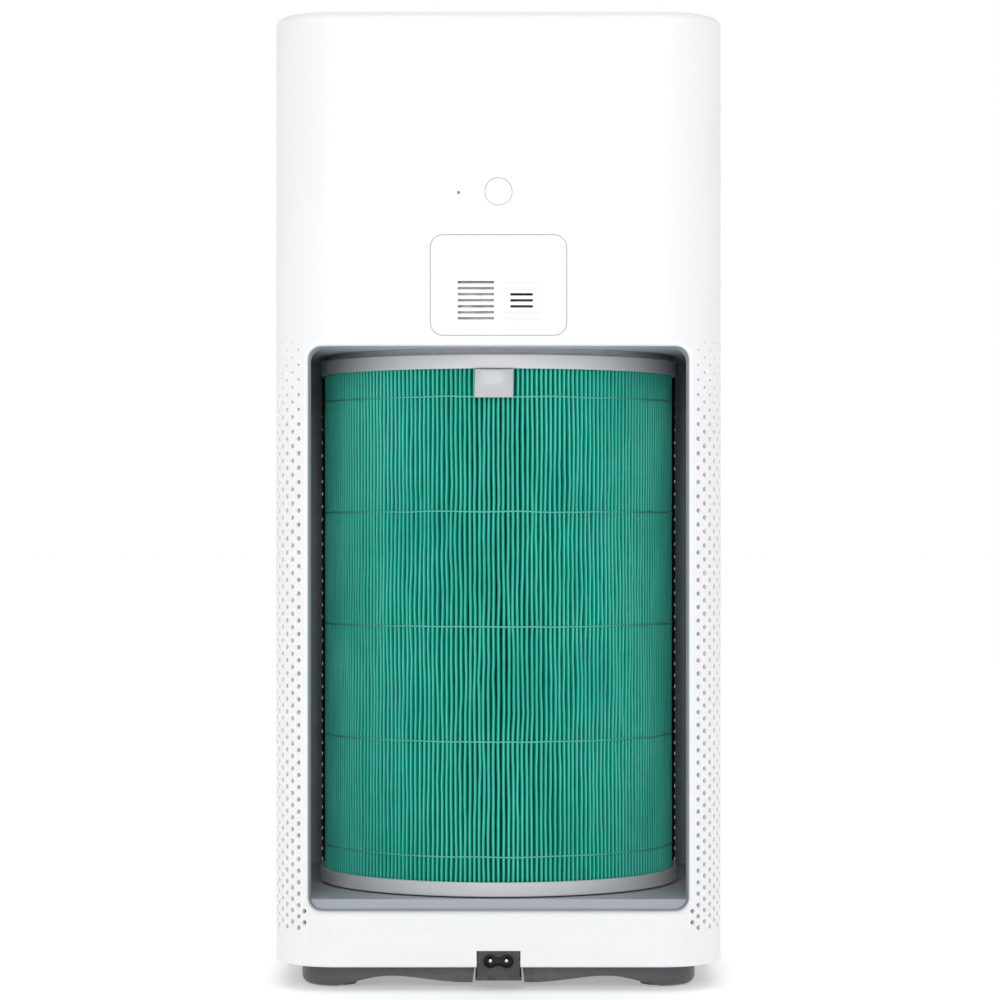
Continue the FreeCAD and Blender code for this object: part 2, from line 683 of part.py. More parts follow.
def bay_tray():
    plate = rounded_block(INNER_X - FIT, INNER_Y - FIT, INNER_R - FIT, TRAY_BOTTOM, SEAT_TOP)
    plate = plate.cut(block(-SIDE, SIDE, LINER_END - 0.2, REAR + 1, 0, HEIGHT))
    end = REAR - TONGUE_END
    side = BAY_HALF - 0.3
    low = BAY_BOTTOM + 0.1
    wedge = Part.Face(Part.makePolygon([V(0, LINER_END - 4, low), V(0, end + SEAT_RAMP, low), V(0, end, SEAT_TOP),
                                        V(0, LINER_END - 4, SEAT_TOP), V(0, LINER_END - 4, low)]))
    tongue = wedge.extrude(V(2 * side, 0, 0))
    tongue.translate(V(-side, 0, 0))
    tongue = tongue.common(rounded_slab(2 * side, BAY_HEIGHT - 0.2, BAY_CORNER_R - 0.1, LINER_END - 5, REAR,
                                        0, BAY_BOTTOM + BAY_HEIGHT / 2))
    shape = joined([plate, tongue])
    return shape.cut(lead_hole(TRAY_BOTTOM - 1, SEAT_TOP + 1))


def bay_partition():
    plate = rounded_block(INNER_X - FIT, INNER_Y - FIT, INNER_R - FIT, PARTITION_BOTTOM, PARTITION_TOP)
    reach = BAY_HALF + LINER_WALL + 0.2
    plate = plate.cut(block(-reach, reach, LINER_END - 0.2, REAR + 1, 0, HEIGHT))
    plate = plate.cut(rod(BELL_R + 0.3, 0, HEIGHT))
    holes = ear_holes(SCREW_R + SCREW_SLACK, PARTITION_BOTTOM - 1, PARTITION_TOP + 1)
    holes += ear_holes(SCREW_HEAD_R + SCREW_SLACK, PARTITION_BOTTOM - 1, PARTITION_BOTTOM + SCREW_HEAD)
    return plate.cut(holes + [lead_hole(PARTITION_BOTTOM - 1, PARTITION_TOP + 1)])


def ring_seal(z0, z1):
    outer = FILTER_R - SEAL_INSET
    return tube(outer, outer - SEAL_WIDTH, z0, z1)


# ---- filter cartridge
def filter_top_ring():
    low = FILTER_TOP - RING_HEIGHT
    edge = 0.8
    points = [(CORE_R, low), (CORE_R + RING_SKIRT, low), (CORE_R + RING_SKIRT, FILTER_TOP - RING_PLATE),
              (MEDIA_R, FILTER_TOP - RING_PLATE), (MEDIA_R, low), (FILTER_R - edge / 2, low),
              (FILTER_R, low + edge), (FILTER_R, FILTER_TOP - edge), (FILTER_R - edge, FILTER_TOP),
              (CORE_R, FILTER_TOP)]
    return turned(points)


def filter_bottom_ring():
    high = FILTER_BOTTOM + RING_HEIGHT
    edge = 0.8
    floor = FILTER_BOTTOM + RING_PLATE
    points = [(0, FILTER_BOTTOM), (FILTER_R - edge, FILTER_BOTTOM), (FILTER_R, FILTER_BOTTOM + edge),
              (FILTER_R, high - edge), (FILTER_R - edge / 2, high), (MEDIA_R, high), (MEDIA_R, floor),
              (CORE_R + RING_SKIRT, floor), (CORE_R + RING_SKIRT, high), (CORE_R, high), (CORE_R, floor),
              (0, floor)]
    return turned(points).cut(rod(TAG_R + 0.3, FILTER_BOTTOM - 1, FILTER_BOTTOM + TAG_THICK + 0.2))


def filter_id_tag():
    return rod(TAG_R, FILTER_BOTTOM + 0.2, FILTER_BOTTOM + 0.2 + TAG_THICK)


def between_rings(outer, inner):
    return tube(outer, inner, FILTER_BOTTOM + RING_PLATE, FILTER_TOP - RING_PLATE)


def filter_core():
    """The plastic cage that holds the carbon layer, with rows of windows."""
    outer = CORE_R + RING_SKIRT + CORE_WALL
    low = FILTER_BOTTOM + RING_PLATE
    high = FILTER_TOP - RING_PLATE
    shape = tube(outer, CORE_R + RING_SKIRT, low, high)
    margin = RING_HEIGHT + 3.0
    pitch = (high - low - 2 * margin) / CORE_ROWS
    cuts = []
    for row in range(CORE_ROWS):
        z = low + margin + pitch * row
        bar = block(0, outer + 2, -4.6, 4.6, z + 1.5, z + pitch - 1.5)
        cuts += around(bar, CORE_COLUMNS, 180.0 / CORE_COLUMNS * (row % 2))
    return shape.cut(cuts)


def filter_glue_beads():
    middle = (FILTER_BOTTOM + FILTER_TOP) / 2 - 0.8
    shapes = []
    for k in range(GLUE_BEADS):
        z = middle + GLUE_PITCH * (k - (GLUE_BEADS - 1) / 2)
        shapes.append(tube(MEDIA_R + GLUE_RAISED, MEDIA_R, z - GLUE_HEIGHT / 2, z + GLUE_HEIGHT / 2))
    return group(shapes)


def pull_tab():
    """A folded strap that hangs below the top ring and bows outwards."""
    top = FILTER_TOP - RING_HEIGHT - TAB_CLEAR
    near = FILTER_R - 0.3
    bow = 1.8
    outer = Part.Arc(V(0, near + TAB_THICK, top), V(0, near + TAB_THICK + bow, top - TAB_LENGTH / 2),
                     V(0, near + TAB_THICK, top - TAB_LENGTH)).toShape()
    low = top - TAB_LENGTH
    inner = Part.Arc(V(0, near, low), V(0, near + bow, top - TAB_LENGTH / 2), V(0, near, top)).toShape()
    edges = [outer, Part.makeLine(V(0, near + TAB_THICK, low), V(0, near, low)), inner,
             Part.makeLine(V(0, near, top), V(0, near + TAB_THICK, top))]
    shape = Part.Face(Part.Wire(edges)).extrude(V(TAB_WIDTH, 0, 0))
    shape.translate(V(TAB_X - TAB_WIDTH / 2, 0, 0))
    return shape


# ---- fan
def fan_inlet_ring():
    """The bell mouth under the impeller, with the flange that it is screwed down by."""
    low = PARTITION_BOTTOM + 0.4
    wall = THROAT_WALL
    outer = [(BELL_R, low), (BELL_R, PARTITION_TOP), (FLANGE_R, PARTITION_TOP), (FLANGE_R, FLANGE_TOP),
             (THROAT_R + wall + 3.0, FLANGE_TOP), (THROAT_R + wall, FLANGE_TOP + 3.0),
             (THROAT_R + wall, THROAT_TOP),
             (THROAT_R, THROAT_TOP), (THROAT_R, PARTITION_TOP + 3.0), (THROAT_R + 3.0, PARTITION_TOP + 0.5),
             (THROAT_R + 8.0, low)]
    shape = turned(outer)
    return shape.cut([rod(SCREW_R + SCREW_SLACK, 0, HEIGHT, x, y) for x, y in ear_places()])


def ear_places():
    return [on_circle(EAR_AT, angle) for angle in EAR_ANGLES]


def ears(z0, z1):
    shapes = []
    for x, y in ear_places():
        ear = rod(EAR_R, z0, z1, x, y)
        shapes.append(ear.cut(rod(DUCT_R + 0.5, z0 - 1, z1 + 1)))
    return shapes


def ear_holes(radius, z0, z1):
    return [rod(radius, z0, z1, x, y) for x, y in ear_places()]


def wall_posts(places, plane, rear=True):
    """Posts from the duct to a plane beside the front or rear wall."""
    shapes = []
    sign = 1 if rear else -1
    for x, z in places:
        start = sign * (math.sqrt(DUCT_OUT ** 2 - x ** 2) - 1.0)
        shapes.append(rod_y(2.6, start, plane, x, z))
    return shapes


def sensor_plane():
    return INNER_Y - 6.0 - SENSOR_DEPTH


def humidity_plane():
    return INNER_Y - 9.5


def button_plane(rear=True):
    back = REAR + BUTTON_PROUD - 6.3 - BUTTON_TRAVEL - SWITCH_SPACE
    plane = back - 5.0 - BOARD
    return plane if rear else -plane


def fan_duct():
    shape = tube(DUCT_OUT, DUCT_R, FLANGE_TOP, DUCT_TOP)
    half = SENSOR_WIDTH / 2 - 5
    high = SENSOR_HEIGHT / 2 - 5
    sensor = [(SENSOR_X + i * half, SENSOR_Z + j * high) for i in (-1, 1) for j in (-1, 1)]
    humidity = [(HUMIDITY_X, SENSOR_Z - 10), (HUMIDITY_X, SENSOR_Z + 10)]
    rear = [(REAR_BOARD_X + i * 17.0, REAR_BUTTON_Z - 8.0) for i in (-1, 1)]
    front = [(i * 15.0, POWER_Z + j * 8.0) for i in (-1, 1) for j in (-1, 1)]
    pieces = [shape] + ears(FLANGE_TOP, FLANGE_TOP + EAR_THICK) + ears(DUCT_TOP - EAR_THICK, DUCT_TOP)
    pieces += wall_posts(sensor, sensor_plane())
    pieces += wall_posts(humidity, humidity_plane() - BOARD)
    pieces += wall_posts(rear, button_plane())
    pieces += wall_posts(front, button_plane(False), rear=False)
    shape = joined(pieces)
    holes = ear_holes(SCREW_R, FLANGE_TOP - 1, FLANGE_TOP + EAR_THICK + 1)
    holes += ear_holes(SCREW_R, DUCT_TOP - EAR_THICK - 1, DUCT_TOP + 1)
    return shape.cut(holes)


def disc_rise():
    return 2.5


def vane():
    length = DUCT_R - HUB_CUP_R + 4
    shape = block(HUB_CUP_R - 2, HUB_CUP_R - 2 + length, -1.0, 1.0, -VANE_HEIGHT / 2, VANE_HEIGHT / 2)
    shape.rotate(V(0, 0, 0), V(1, 0, 0), VANE_TILT)
    shape.translate(V(0, 0, DUCT_TOP + CARRIER_HEIGHT / 2))
    keep = tube(DUCT_R + 0.5, HUB_CUP_R - 0.5, DUCT_TOP, CARRIER_TOP)
    return shape.common(keep)


def lead_angle():
    return math.degrees(math.atan2(MOTOR_ROUTE[-1][1], MOTOR_ROUTE[-1][0]))


def lead_bore(from_radius, to_radius):
    start = V(from_radius, 0, MOTOR_ROUTE[-1][2])
    bore = Part.makeCylinder(LEAD_R + 0.8, to_radius - from_radius, start, V(1, 0, 0))
    bore.rotate(V(0, 0, 0), V(0, 0, 1), lead_angle())
    return bore


def motor_carrier():
    """The ring of vanes above the impeller; its hub cup carries the motor."""
    disc = rod(HUB_CUP_R, DUCT_TOP, DUCT_TOP + disc_rise())
    wall = tube(HUB_CUP_R, HUB_CUP_R - 2.2, DUCT_TOP + disc_rise() - 0.5, CARRIER_TOP)
    ring = tube(DUCT_OUT, DUCT_R, DUCT_TOP, CARRIER_TOP)
    neck = rod(TUBE_R, bearing_levels()[0] - 1.0, DUCT_TOP + 0.5)
    vanes = around(vane(), VANES, lead_angle() + 180.0 / VANES)
    pieces = [disc, wall, ring, neck] + vanes
    pieces += ears(DUCT_TOP, DUCT_TOP + EAR_THICK) + ears(CARRIER_TOP - EAR_THICK, CARRIER_TOP)
    shape = joined(pieces)
    cuts = [rod(BEARING_R, bearing_levels()[0] - 2.0, DUCT_TOP - 1.5), lead_bore(HUB_CUP_R - 10, DUCT_OUT + 10)]
    cuts += ear_holes(SCREW_R + SCREW_SLACK, DUCT_TOP - 1, DUCT_TOP + EAR_THICK + 1)
    cuts += ear_holes(SCREW_R, CARRIER_TOP - EAR_THICK - 1, CARRIER_TOP + 1)
    return shape.cut(cuts)


def bearing_levels():
    low = CAN_BOTTOM + 5.0
    return low, low + STATOR_HEIGHT + 2.0


def motor_bearings():
    shapes = []
    for z in bearing_levels():
        shapes.append(tube(BEARING_R, SHAFT_R + BEARING_FIT, z, z + BEARING_HEIGHT))
    return group(shapes)


def motor_stator():
    low = bearing_levels()[0] + 2.0
    high = low + STATOR_HEIGHT
    tooth = block(14.0, STATOR_R - 0.8, -1.8, 1.8, low, high)
    tip = tube(STATOR_R, STATOR_R - 1.6, low, high)
    tip = tip.common(block(0, STATOR_R + 1, -6.6, 6.6, low, high))
    tooth = joined([tooth, tip])
    return joined([tube(15.0, TUBE_R, low, high)] + around(tooth, TEETH))


def motor_coils():
    low = bearing_levels()[0] + 2.0
    high = low + STATOR_HEIGHT
    coil = block(17.5, STATOR_R - 2.2, -4.0, 4.0, low - 2.2, high + 2.2)
    coil = coil.cut(block(0, STATOR_R, -1.8, 1.8, low, high))
    return group(around(coil, TEETH))


def rotor_magnets():
    inner = STATOR_R + MAGNET_GAP
    return tube(inner + MAGNET, inner, CAN_BOTTOM + 4.0, CAN_BOTTOM + CAN_HEIGHT - 1.0)


def rotor_can():
    inner = STATOR_R + MAGNET_GAP + MAGNET
    wall = tube(inner + CAN_WALL, inner, CAN_BOTTOM, CAN_BOTTOM + CAN_HEIGHT)
    floor = tube(inner + CAN_WALL, SHAFT_R, CAN_BOTTOM, CAN_BOTTOM + CAN_WALL)
    boss = tube(SHAFT_R + 3.0, SHAFT_R, CAN_BOTTOM, CAN_BOTTOM + 3.4)
    return joined([wall, floor, boss])


def nut_bottom():
    return HUB_LOW - 6.0 - NUT_HEIGHT


def motor_shaft():
    low = nut_bottom() - 2.0
    high = bearing_levels()[1] + BEARING_HEIGHT + 1.0
    return rod(SHAFT_R, low, high)


def impeller_nut():
    reach = NUT_FLATS / math.sqrt(3)
    corners = [V(*on_circle(reach, 60 * k), nut_bottom()) for k in range(7)]
    nut = Part.Face(Part.makePolygon(corners)).extrude(V(0, 0, NUT_HEIGHT))
    return nut.cut(rod(SHAFT_R, nut_bottom() - 1, HUB_LOW))


def motor_board():
    low = CAN_BOTTOM + CAN_HEIGHT + 2.0
    return tube(33.0, TUBE_R, low, low + BOARD)


def blade():
    """One backward-swept blade, between two arcs."""
    def side(offset):
        places = []
        for share in (0.0, 0.5, 1.0):
            radius = BLADE_FROM + (IMPELLER_R - 0.4 - BLADE_FROM) * share
            angle = math.radians(BLADE_SWEEP * share ** 1.15)
            lean = angle + math.atan2(radius * math.radians(BLADE_SWEEP), IMPELLER_R - BLADE_FROM)
            x = radius * math.cos(angle) - offset * math.sin(lean)
            y = radius * math.sin(angle) + offset * math.cos(lean)
            places.append(V(x, y, BLADE_LOW))
        return places
    one = side(BLADE_THICK / 2)
    two = side(-BLADE_THICK / 2)
    edges = [Part.Arc(*one).toShape(), Part.makeLine(one[2], two[2]), Part.Arc(two[2], two[1], two[0]).toShape(),
             Part.makeLine(two[0], one[0])]
    return Part.Face(Part.Wire(edges)).extrude(V(0, 0, HUB_HIGH - BLADE_LOW))


def impeller_hub():
    """The cone that turns the air outwards, with the boss on the shaft."""
    return turned([(SHAFT_R, HUB_LOW - 6), (14, HUB_LOW - 6), (15, HUB_LOW - 3), (HUB_TURN_R, HUB_LOW),
                   (IMPELLER_R, HUB_HIGH), (IMPELLER_R, HUB_HIGH + 2.4), (IMPELLER_R - 1.6, HUB_HIGH + 2.0),
                   (HUB_TURN_R - 1, HUB_LOW + 2.6), (SHAFT_R, HUB_LOW + 0.5)])


def impeller_shroud():
    """The ring that closes the blades below and turns round the throat."""
    return turned([(SHROUD_R, FLANGE_TOP + 5), (SHROUD_R + SHROUD_WALL, FLANGE_TOP + 5),
                   (SHROUD_R + SHROUD_WALL, BLADE_LOW - 0.9), (IMPELLER_R, BLADE_LOW + SHROUD_RISE - 2.6),
                   (IMPELLER_R, BLADE_LOW + SHROUD_RISE), (SHROUD_R, BLADE_LOW)])


def impeller_blades():
    """The blades, each from the shroud up to the hub's cone."""
    flow = turned([(HUB_TURN_R, BLADE_LOW), (SHROUD_R, BLADE_LOW), (IMPELLER_R, BLADE_LOW + SHROUD_RISE),
                   (IMPELLER_R, HUB_HIGH), (HUB_TURN_R, HUB_LOW)])
    return group([piece.common(flow) for piece in around(blade(), BLADES)])


def motor_cover():
    """The dome over the hub cup."""
    thick = 2.0
    ball = (HUB_CUP_R ** 2 + DOME_RISE ** 2) / (2 * DOME_RISE)
    centre = CARRIER_TOP + DOME_RISE - ball
    outer = Part.makeSphere(ball, V(0, 0, centre))
    inner = Part.makeSphere(ball - thick, V(0, 0, centre))
    keep = rod(HUB_CUP_R, CARRIER_TOP, CARRIER_TOP + DOME_RISE + 1)
    return outer.cut(inner).common(keep)


def outlet_diffuser():
    low = CARRIER_TOP
    high = FRAME_BOTTOM
    shape = tube(DUCT_OUT, DUCT_R, low, high)
    lip = tube(DUCT_OUT, DUCT_R - 2.2, high - 3.6, high - 1.5)
    rim = tube(FLANGE_R, DUCT_R, high - 2.5, high)
    shape = joined([shape, lip, rim] + ears(low, low + EAR_THICK))
    shape = shape.cut(rod(GRILLE_R + 0.3, high - 1.5, high + 1))
    return shape.cut(ear_holes(SCREW_R + SCREW_SLACK, low - 1, low + EAR_THICK + 1))


def fan_screws():
    """Three layers of screws: bell mouth to duct from below, carrier to duct, diffuser to carrier."""
    shapes = []
    for x, y in ear_places():
        shapes.append(ear_screw(x, y, PARTITION_BOTTOM + SCREW_HEAD, FLANGE_TOP + EAR_THICK - 1, -1))
        shapes.append(ear_screw(x, y, DUCT_TOP + EAR_THICK, DUCT_TOP - EAR_THICK + 1, 1))
        shapes.append(ear_screw(x, y, CARRIER_TOP + EAR_THICK, CARRIER_TOP - EAR_THICK + 1, 1))
    return group(shapes)


def ear_screw(x, y, seat, tip, side):
    low, high = sorted((seat, seat + side * SCREW_HEAD))
    head = rod(SCREW_HEAD_R, low, high, x, y)
    return joined([head, rod(SCREW_R, min(seat, tip), max(seat, tip), x, y)])


# ---- buttons and display
def push_button(x, z, rear=True):
    face = REAR + BUTTON_PROUD
    shape = joined([rod_y(BUTTON_R, face - 6.3, face, x, z),
                    rod_y(BUTTON_R + 1.4, INNER_Y - 0.3 - BUTTON_FLANGE, INNER_Y - 0.3, x, z)])
    edge = [e for e in shape.Edges if abs(e.BoundBox.YMin - face) < 0.01]
    shape = shape.makeFillet(0.6, edge)
    if not rear:
        shape.rotate(V(x, 0, z), V(0, 0, 1), 180)
    return shape


def button_board(x, z, middle_x, size, rear=True):
    plane = button_plane(True)
    shape = rounded_slab(size[0], size[1], 2.0, plane, plane + BOARD, middle_x, z - 1.0)
    switch = block(x - 3, x + 3, plane + BOARD - 0.2, plane + BOARD + 3.6, z - 3, z + 3)
    stem = rod_y(1.6, plane + BOARD + 3.4, plane + BOARD + 5.0, x, z)
    shape = joined([shape, switch, stem])
    if not rear:
        shape.rotate(V(0, 0, z), V(0, 0, 1), 180)
    return shape


def status_light_pipe():
    start = button_plane() + BOARD + 2.0
    return joined([rod_y(LIGHT_R, start, REAR - 0.2, LIGHT_X, LIGHT_Z),
                   rod_y(2.2, INNER_Y - 1.6, INNER_Y, LIGHT_X, LIGHT_Z)])


def display_window():
    pane = rod_y(DISPLAY_R, FRONT + 0.2, -INNER_Y, 0, DISPLAY_Z)
    rim = rod_y(DISPLAY_R + 3.0, -INNER_Y, -INNER_Y + 1.6, 0, DISPLAY_Z)
    edge = [e for e in pane.Edges if abs(e.BoundBox.YMax - FRONT - 0.2) < 0.01]
    return joined([pane.makeFillet(0.5, edge), rim])


def display_panel():
    plane = -INNER_Y + 1.6
    return rounded_slab(40.0, 40.0, 3.0, plane, plane + 2.2, 0, DISPLAY_Z)


def display_board():
    plane = -INNER_Y + 3.8
    return rod_y(30.0, plane, plane + BOARD, 0, DISPLAY_Z)


def display_bracket():
    """The bracket between the fan casing and the display board."""
    plane = -INNER_Y + 3.8 + BOARD
    pad = rounded_slab(44.0, 24.0, 3.0, plane, plane + 2.0, 0, DISPLAY_Z)
    legs = []
    for x in (-17.0, 17.0):
        end = -math.sqrt(DUCT_OUT ** 2 - x ** 2)
        leg = block(x - 3, x + 3, plane + 1.0, end + 4.0, DISPLAY_Z - 8, DISPLAY_Z + 8)
        legs.append(leg.cut(rod(DUCT_OUT, DISPLAY_Z - 20, DISPLAY_Z + 20)))
    return joined([pad] + legs)


# ---- sensors
def slot_levels():
    return [SLOT_TOP - SLOT_PITCH * k for k in range(SLOT_ROWS)]


def sensor_cover():
    face = REAR
    back = REAR - COVER_THICK
    shape = rounded_slab(COVER_WIDTH, COVER_HEIGHT, COVER_CORNER_R, back, face, 0, COVER_Z)
    inset = 6.0
    rim = rounded_slab(COVER_WIDTH - inset, COVER_HEIGHT - inset, COVER_CORNER_R - inset / 2, back - 2.6,
                       back + 0.5, 0, COVER_Z)
    wall = 1.6
    rim = rim.cut(rounded_slab(COVER_WIDTH - inset - 2 * wall, COVER_HEIGHT - inset - 2 * wall, 2.0,
                               back - 3.6, back + 0.2, 0, COVER_Z))
    shape = joined([shape, rim])
    cuts = []
    for k, z in enumerate(slot_levels()):
        low, high = z - SLOT_HEIGHT / 2, z + SLOT_HEIGHT / 2
        cuts.append(block(2.4, 21.6, back - 1, face + 1, low, high))
        cuts.append(block(-22.7, -2.5, face - 0.6, face + 1, low, high))
        if k in (2, 3, 4):
            cuts.append(block(-18.2, -6.3, back - 1, face + 1, low, high))
    return shape.cut(cuts)


def particle_sensor():
    low = sensor_plane()
    shape = block(SENSOR_X - SENSOR_WIDTH / 2, SENSOR_X + SENSOR_WIDTH / 2, low, low + SENSOR_DEPTH,
                  SENSOR_Z - SENSOR_HEIGHT / 2, SENSOR_Z + SENSOR_HEIGHT / 2)
    upright = [e for e in shape.Edges if e.BoundBox.YLength > SENSOR_DEPTH - 0.1]
    shape = shape.makeFillet(1.5, upright)
    top = low + SENSOR_DEPTH
    pocket = rod_y(SENSOR_FAN_R, top - 7.5, top + 1, SENSOR_FAN_X, SENSOR_FAN_Z)
    pin = rod_y(1.0, top - 8.0, top - 1.5, SENSOR_FAN_X, SENSOR_FAN_Z)
    mouth = block(SENSOR_X - 10, SENSOR_X + 8, top - 3, top + 1, SENSOR_Z - 16, SENSOR_Z - 9)
    return joined([shape.cut([pocket, mouth]), pin])


def particle_fan():
    top = sensor_plane() + SENSOR_DEPTH
    low, high = top - 6.8, top - 1.0
    hub = rod_y(4.2, low, high, SENSOR_FAN_X, SENSOR_FAN_Z)
    shapes = [hub]
    for k in range(7):
        wing = block(3.6, SENSOR_FAN_R - 0.8, low + 0.4, high - 0.4, -0.5, 0.5)
        wing.rotate(V(0, (low + high) / 2, 0), V(1, 0, 0), 32)
        wing = wing.common(block(0, 20, low, high, -5, 5))
        wing.rotate(V(0, 0, 0), V(0, 1, 0), 360.0 * k / 7)
        wing.translate(V(SENSOR_FAN_X, 0, SENSOR_FAN_Z))
        shapes.append(wing)
    shape = joined(shapes)
    return shape.cut(rod_y(1.05, low - 1, top - 1.4, SENSOR_FAN_X, SENSOR_FAN_Z))


def humidity_board():
    plane = humidity_plane()
    board = block(HUMIDITY_X - 9, HUMIDITY_X + 9, plane - BOARD, plane, SENSOR_Z - 14, SENSOR_Z + 14)
    chip = block(HUMIDITY_X + 2, HUMIDITY_X + 6, plane - 0.1, plane + 1.5, SLOT_TOP - 12, SLOT_TOP - 8)
    return joined([board, chip])


# ---- every sub-part by name
def housing_parts():
    """The housing, the top and the base."""
    yield "outer_housing", outer_housing()
    yield "top_frame", top_frame()
    yield "outlet_grille", outlet_grille()
    yield "grille_hub_cap", grille_hub_cap()
    yield "base_plate", base_plate()
    yield "rubber_feet", rubber_feet()
    yield "frame_screws", frame_screws()
    yield "lower_posts", posts(BASE_TOP, TRAY_BOTTOM)
    yield "bay_posts", posts(SEAT_TOP, PARTITION_BOTTOM)
    yield "upper_posts", posts(PARTITION_TOP, FRAME_BOTTOM)


def electric_parts():
    """The mains inlet, the boards and the leads."""
    yield "inlet_socket", inlet_socket()
    yield "inlet_pins", inlet_pins()
    yield "inlet_lead", lead("inlet_lead", INLET_ROUTE)
    yield "power_board", circuit_board(POWER_BOARD)
    yield "power_parts", power_parts()
    yield "main_board", circuit_board(MAIN_BOARD)
    yield "main_parts", main_parts()
    yield "board_screws", board_screws()
    yield "motor_lead", lead("motor_lead", MOTOR_ROUTE)
    yield "motor_connector", motor_connector()


def bay_parts():
    """The filter bay and the cartridge."""
    yield "bay_frame", bay_frame()
    yield "bay_tray", bay_tray()
    yield "bay_partition", bay_partition()
    yield "lower_seal", ring_seal(SEAT_TOP, SEAT_TOP + SEAL_LOW)
    yield "upper_seal", ring_seal(FILTER_TOP + SLIDE_GAP, PARTITION_BOTTOM)
    yield "filter_top_ring", filter_top_ring()
    yield "filter_bottom_ring", filter_bottom_ring()
    yield "filter_media", between_rings(MEDIA_R, CARBON_R)
    yield "carbon_layer", between_rings(CARBON_R, CORE_R + RING_SKIRT + CORE_WALL)
    yield "filter_core", filter_core()
    yield "filter_glue_beads", filter_glue_beads()
    yield "filter_id_tag", filter_id_tag()
    yield "pull_tab", pull_tab()


def fan_parts():
    """The fan and its motor."""
    yield "fan_inlet_ring", fan_inlet_ring()
    yield "fan_duct", fan_duct()
    yield "motor_carrier", motor_carrier()
    yield "motor_cover", motor_cover()
    yield "outlet_diffuser", outlet_diffuser()
    yield "fan_screws", fan_screws()
    yield "impeller_hub", impeller_hub()
    yield "impeller_shroud", impeller_shroud()
    yield "impeller_blades", impeller_blades()
    yield "impeller_nut", impeller_nut()
    yield "motor_shaft", motor_shaft()
    yield "motor_bearings", motor_bearings()
    yield "motor_stator", motor_stator()
    yield "motor_coils", motor_coils()
    yield "rotor_can", rotor_can()
    yield "rotor_magnets", rotor_magnets()
    yield "motor_board", motor_board()


def control_parts():
    """The buttons, the display and the sensors."""
    yield "rear_button", push_button(0, REAR_BUTTON_Z)
    yield "rear_button_board", button_board(0, REAR_BUTTON_Z, REAR_BOARD_X, REAR_BOARD)
    yield "status_light_pipe", status_light_pipe()
    yield "power_button", push_button(0, POWER_Z, rear=False)
    yield "power_button_board", button_board(0, POWER_Z, 0, FRONT_BOARD, rear=False)
    yield "display_window", display_window()
    yield "display_board", joined([display_board(), display_panel()])
    yield "display_bracket", display_bracket()
    yield "sensor_cover", sensor_cover()
    yield "particle_sensor", particle_sensor()
    yield "particle_fan", particle_fan()
    yield "humidity_board", humidity_board()


def main():
    os.makedirs("parts", exist_ok=True)
    for group_of in (housing_parts, electric_parts, bay_parts, fan_parts, control_parts):
        for name, shape in group_of():
            save(name, shape)


main()
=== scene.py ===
import json
import math

import bmesh
import bpy
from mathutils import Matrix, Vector, noise
from mathutils.geometry import delaunay_2d_cdt


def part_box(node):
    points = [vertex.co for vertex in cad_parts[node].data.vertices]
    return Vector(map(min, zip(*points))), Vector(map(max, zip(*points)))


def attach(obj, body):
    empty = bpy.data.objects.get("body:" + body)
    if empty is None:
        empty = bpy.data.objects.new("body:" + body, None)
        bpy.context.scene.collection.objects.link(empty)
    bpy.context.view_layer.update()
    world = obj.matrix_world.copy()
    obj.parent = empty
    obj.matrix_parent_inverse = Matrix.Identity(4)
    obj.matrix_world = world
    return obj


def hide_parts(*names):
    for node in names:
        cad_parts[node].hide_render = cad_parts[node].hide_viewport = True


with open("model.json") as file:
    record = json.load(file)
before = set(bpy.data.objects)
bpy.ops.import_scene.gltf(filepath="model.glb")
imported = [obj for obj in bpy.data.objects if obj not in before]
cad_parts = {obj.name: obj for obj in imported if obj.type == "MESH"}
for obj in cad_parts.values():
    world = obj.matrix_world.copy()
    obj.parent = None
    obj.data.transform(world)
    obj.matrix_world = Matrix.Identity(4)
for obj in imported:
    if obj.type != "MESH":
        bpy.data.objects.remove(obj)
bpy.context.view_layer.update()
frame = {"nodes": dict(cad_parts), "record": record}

# Tower air purifier, metres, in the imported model's own frame: +Z up, filter bay to +Y, display to -Y.

MM = 0.001

# ---- housing: its box comes from the frame, the roundings and the wall are the maker's
SHELL_LOW, SHELL_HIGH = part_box("outer_housing")
SIDE = SHELL_HIGH.x
REAR = SHELL_HIGH.y
CORNER_R = 34 * MM
WALL = 2.5 * MM
LOW_EDGE_R = 2 * MM
TOP_EDGE_R = 4 * MM
TOP_LIP = 10 * MM
FLAT_X = SIDE - CORNER_R
FLAT_Y = REAR - CORNER_R
CORNER_ARC = math.pi / 2 * CORNER_R
HALF_ROUND = 2 * (FLAT_X + FLAT_Y + CORNER_ARC)
ROUND = 2 * HALF_ROUND
LOW_START = SHELL_LOW.z + LOW_EDGE_R
TOP_START = SHELL_HIGH.z - TOP_EDGE_R
SECTION_LOW = LOW_START - math.pi / 2 * LOW_EDGE_R
TOP_TURNED = TOP_START + math.pi / 2 * TOP_EDGE_R
SECTION_HIGH = TOP_TURNED + TOP_LIP - TOP_EDGE_R

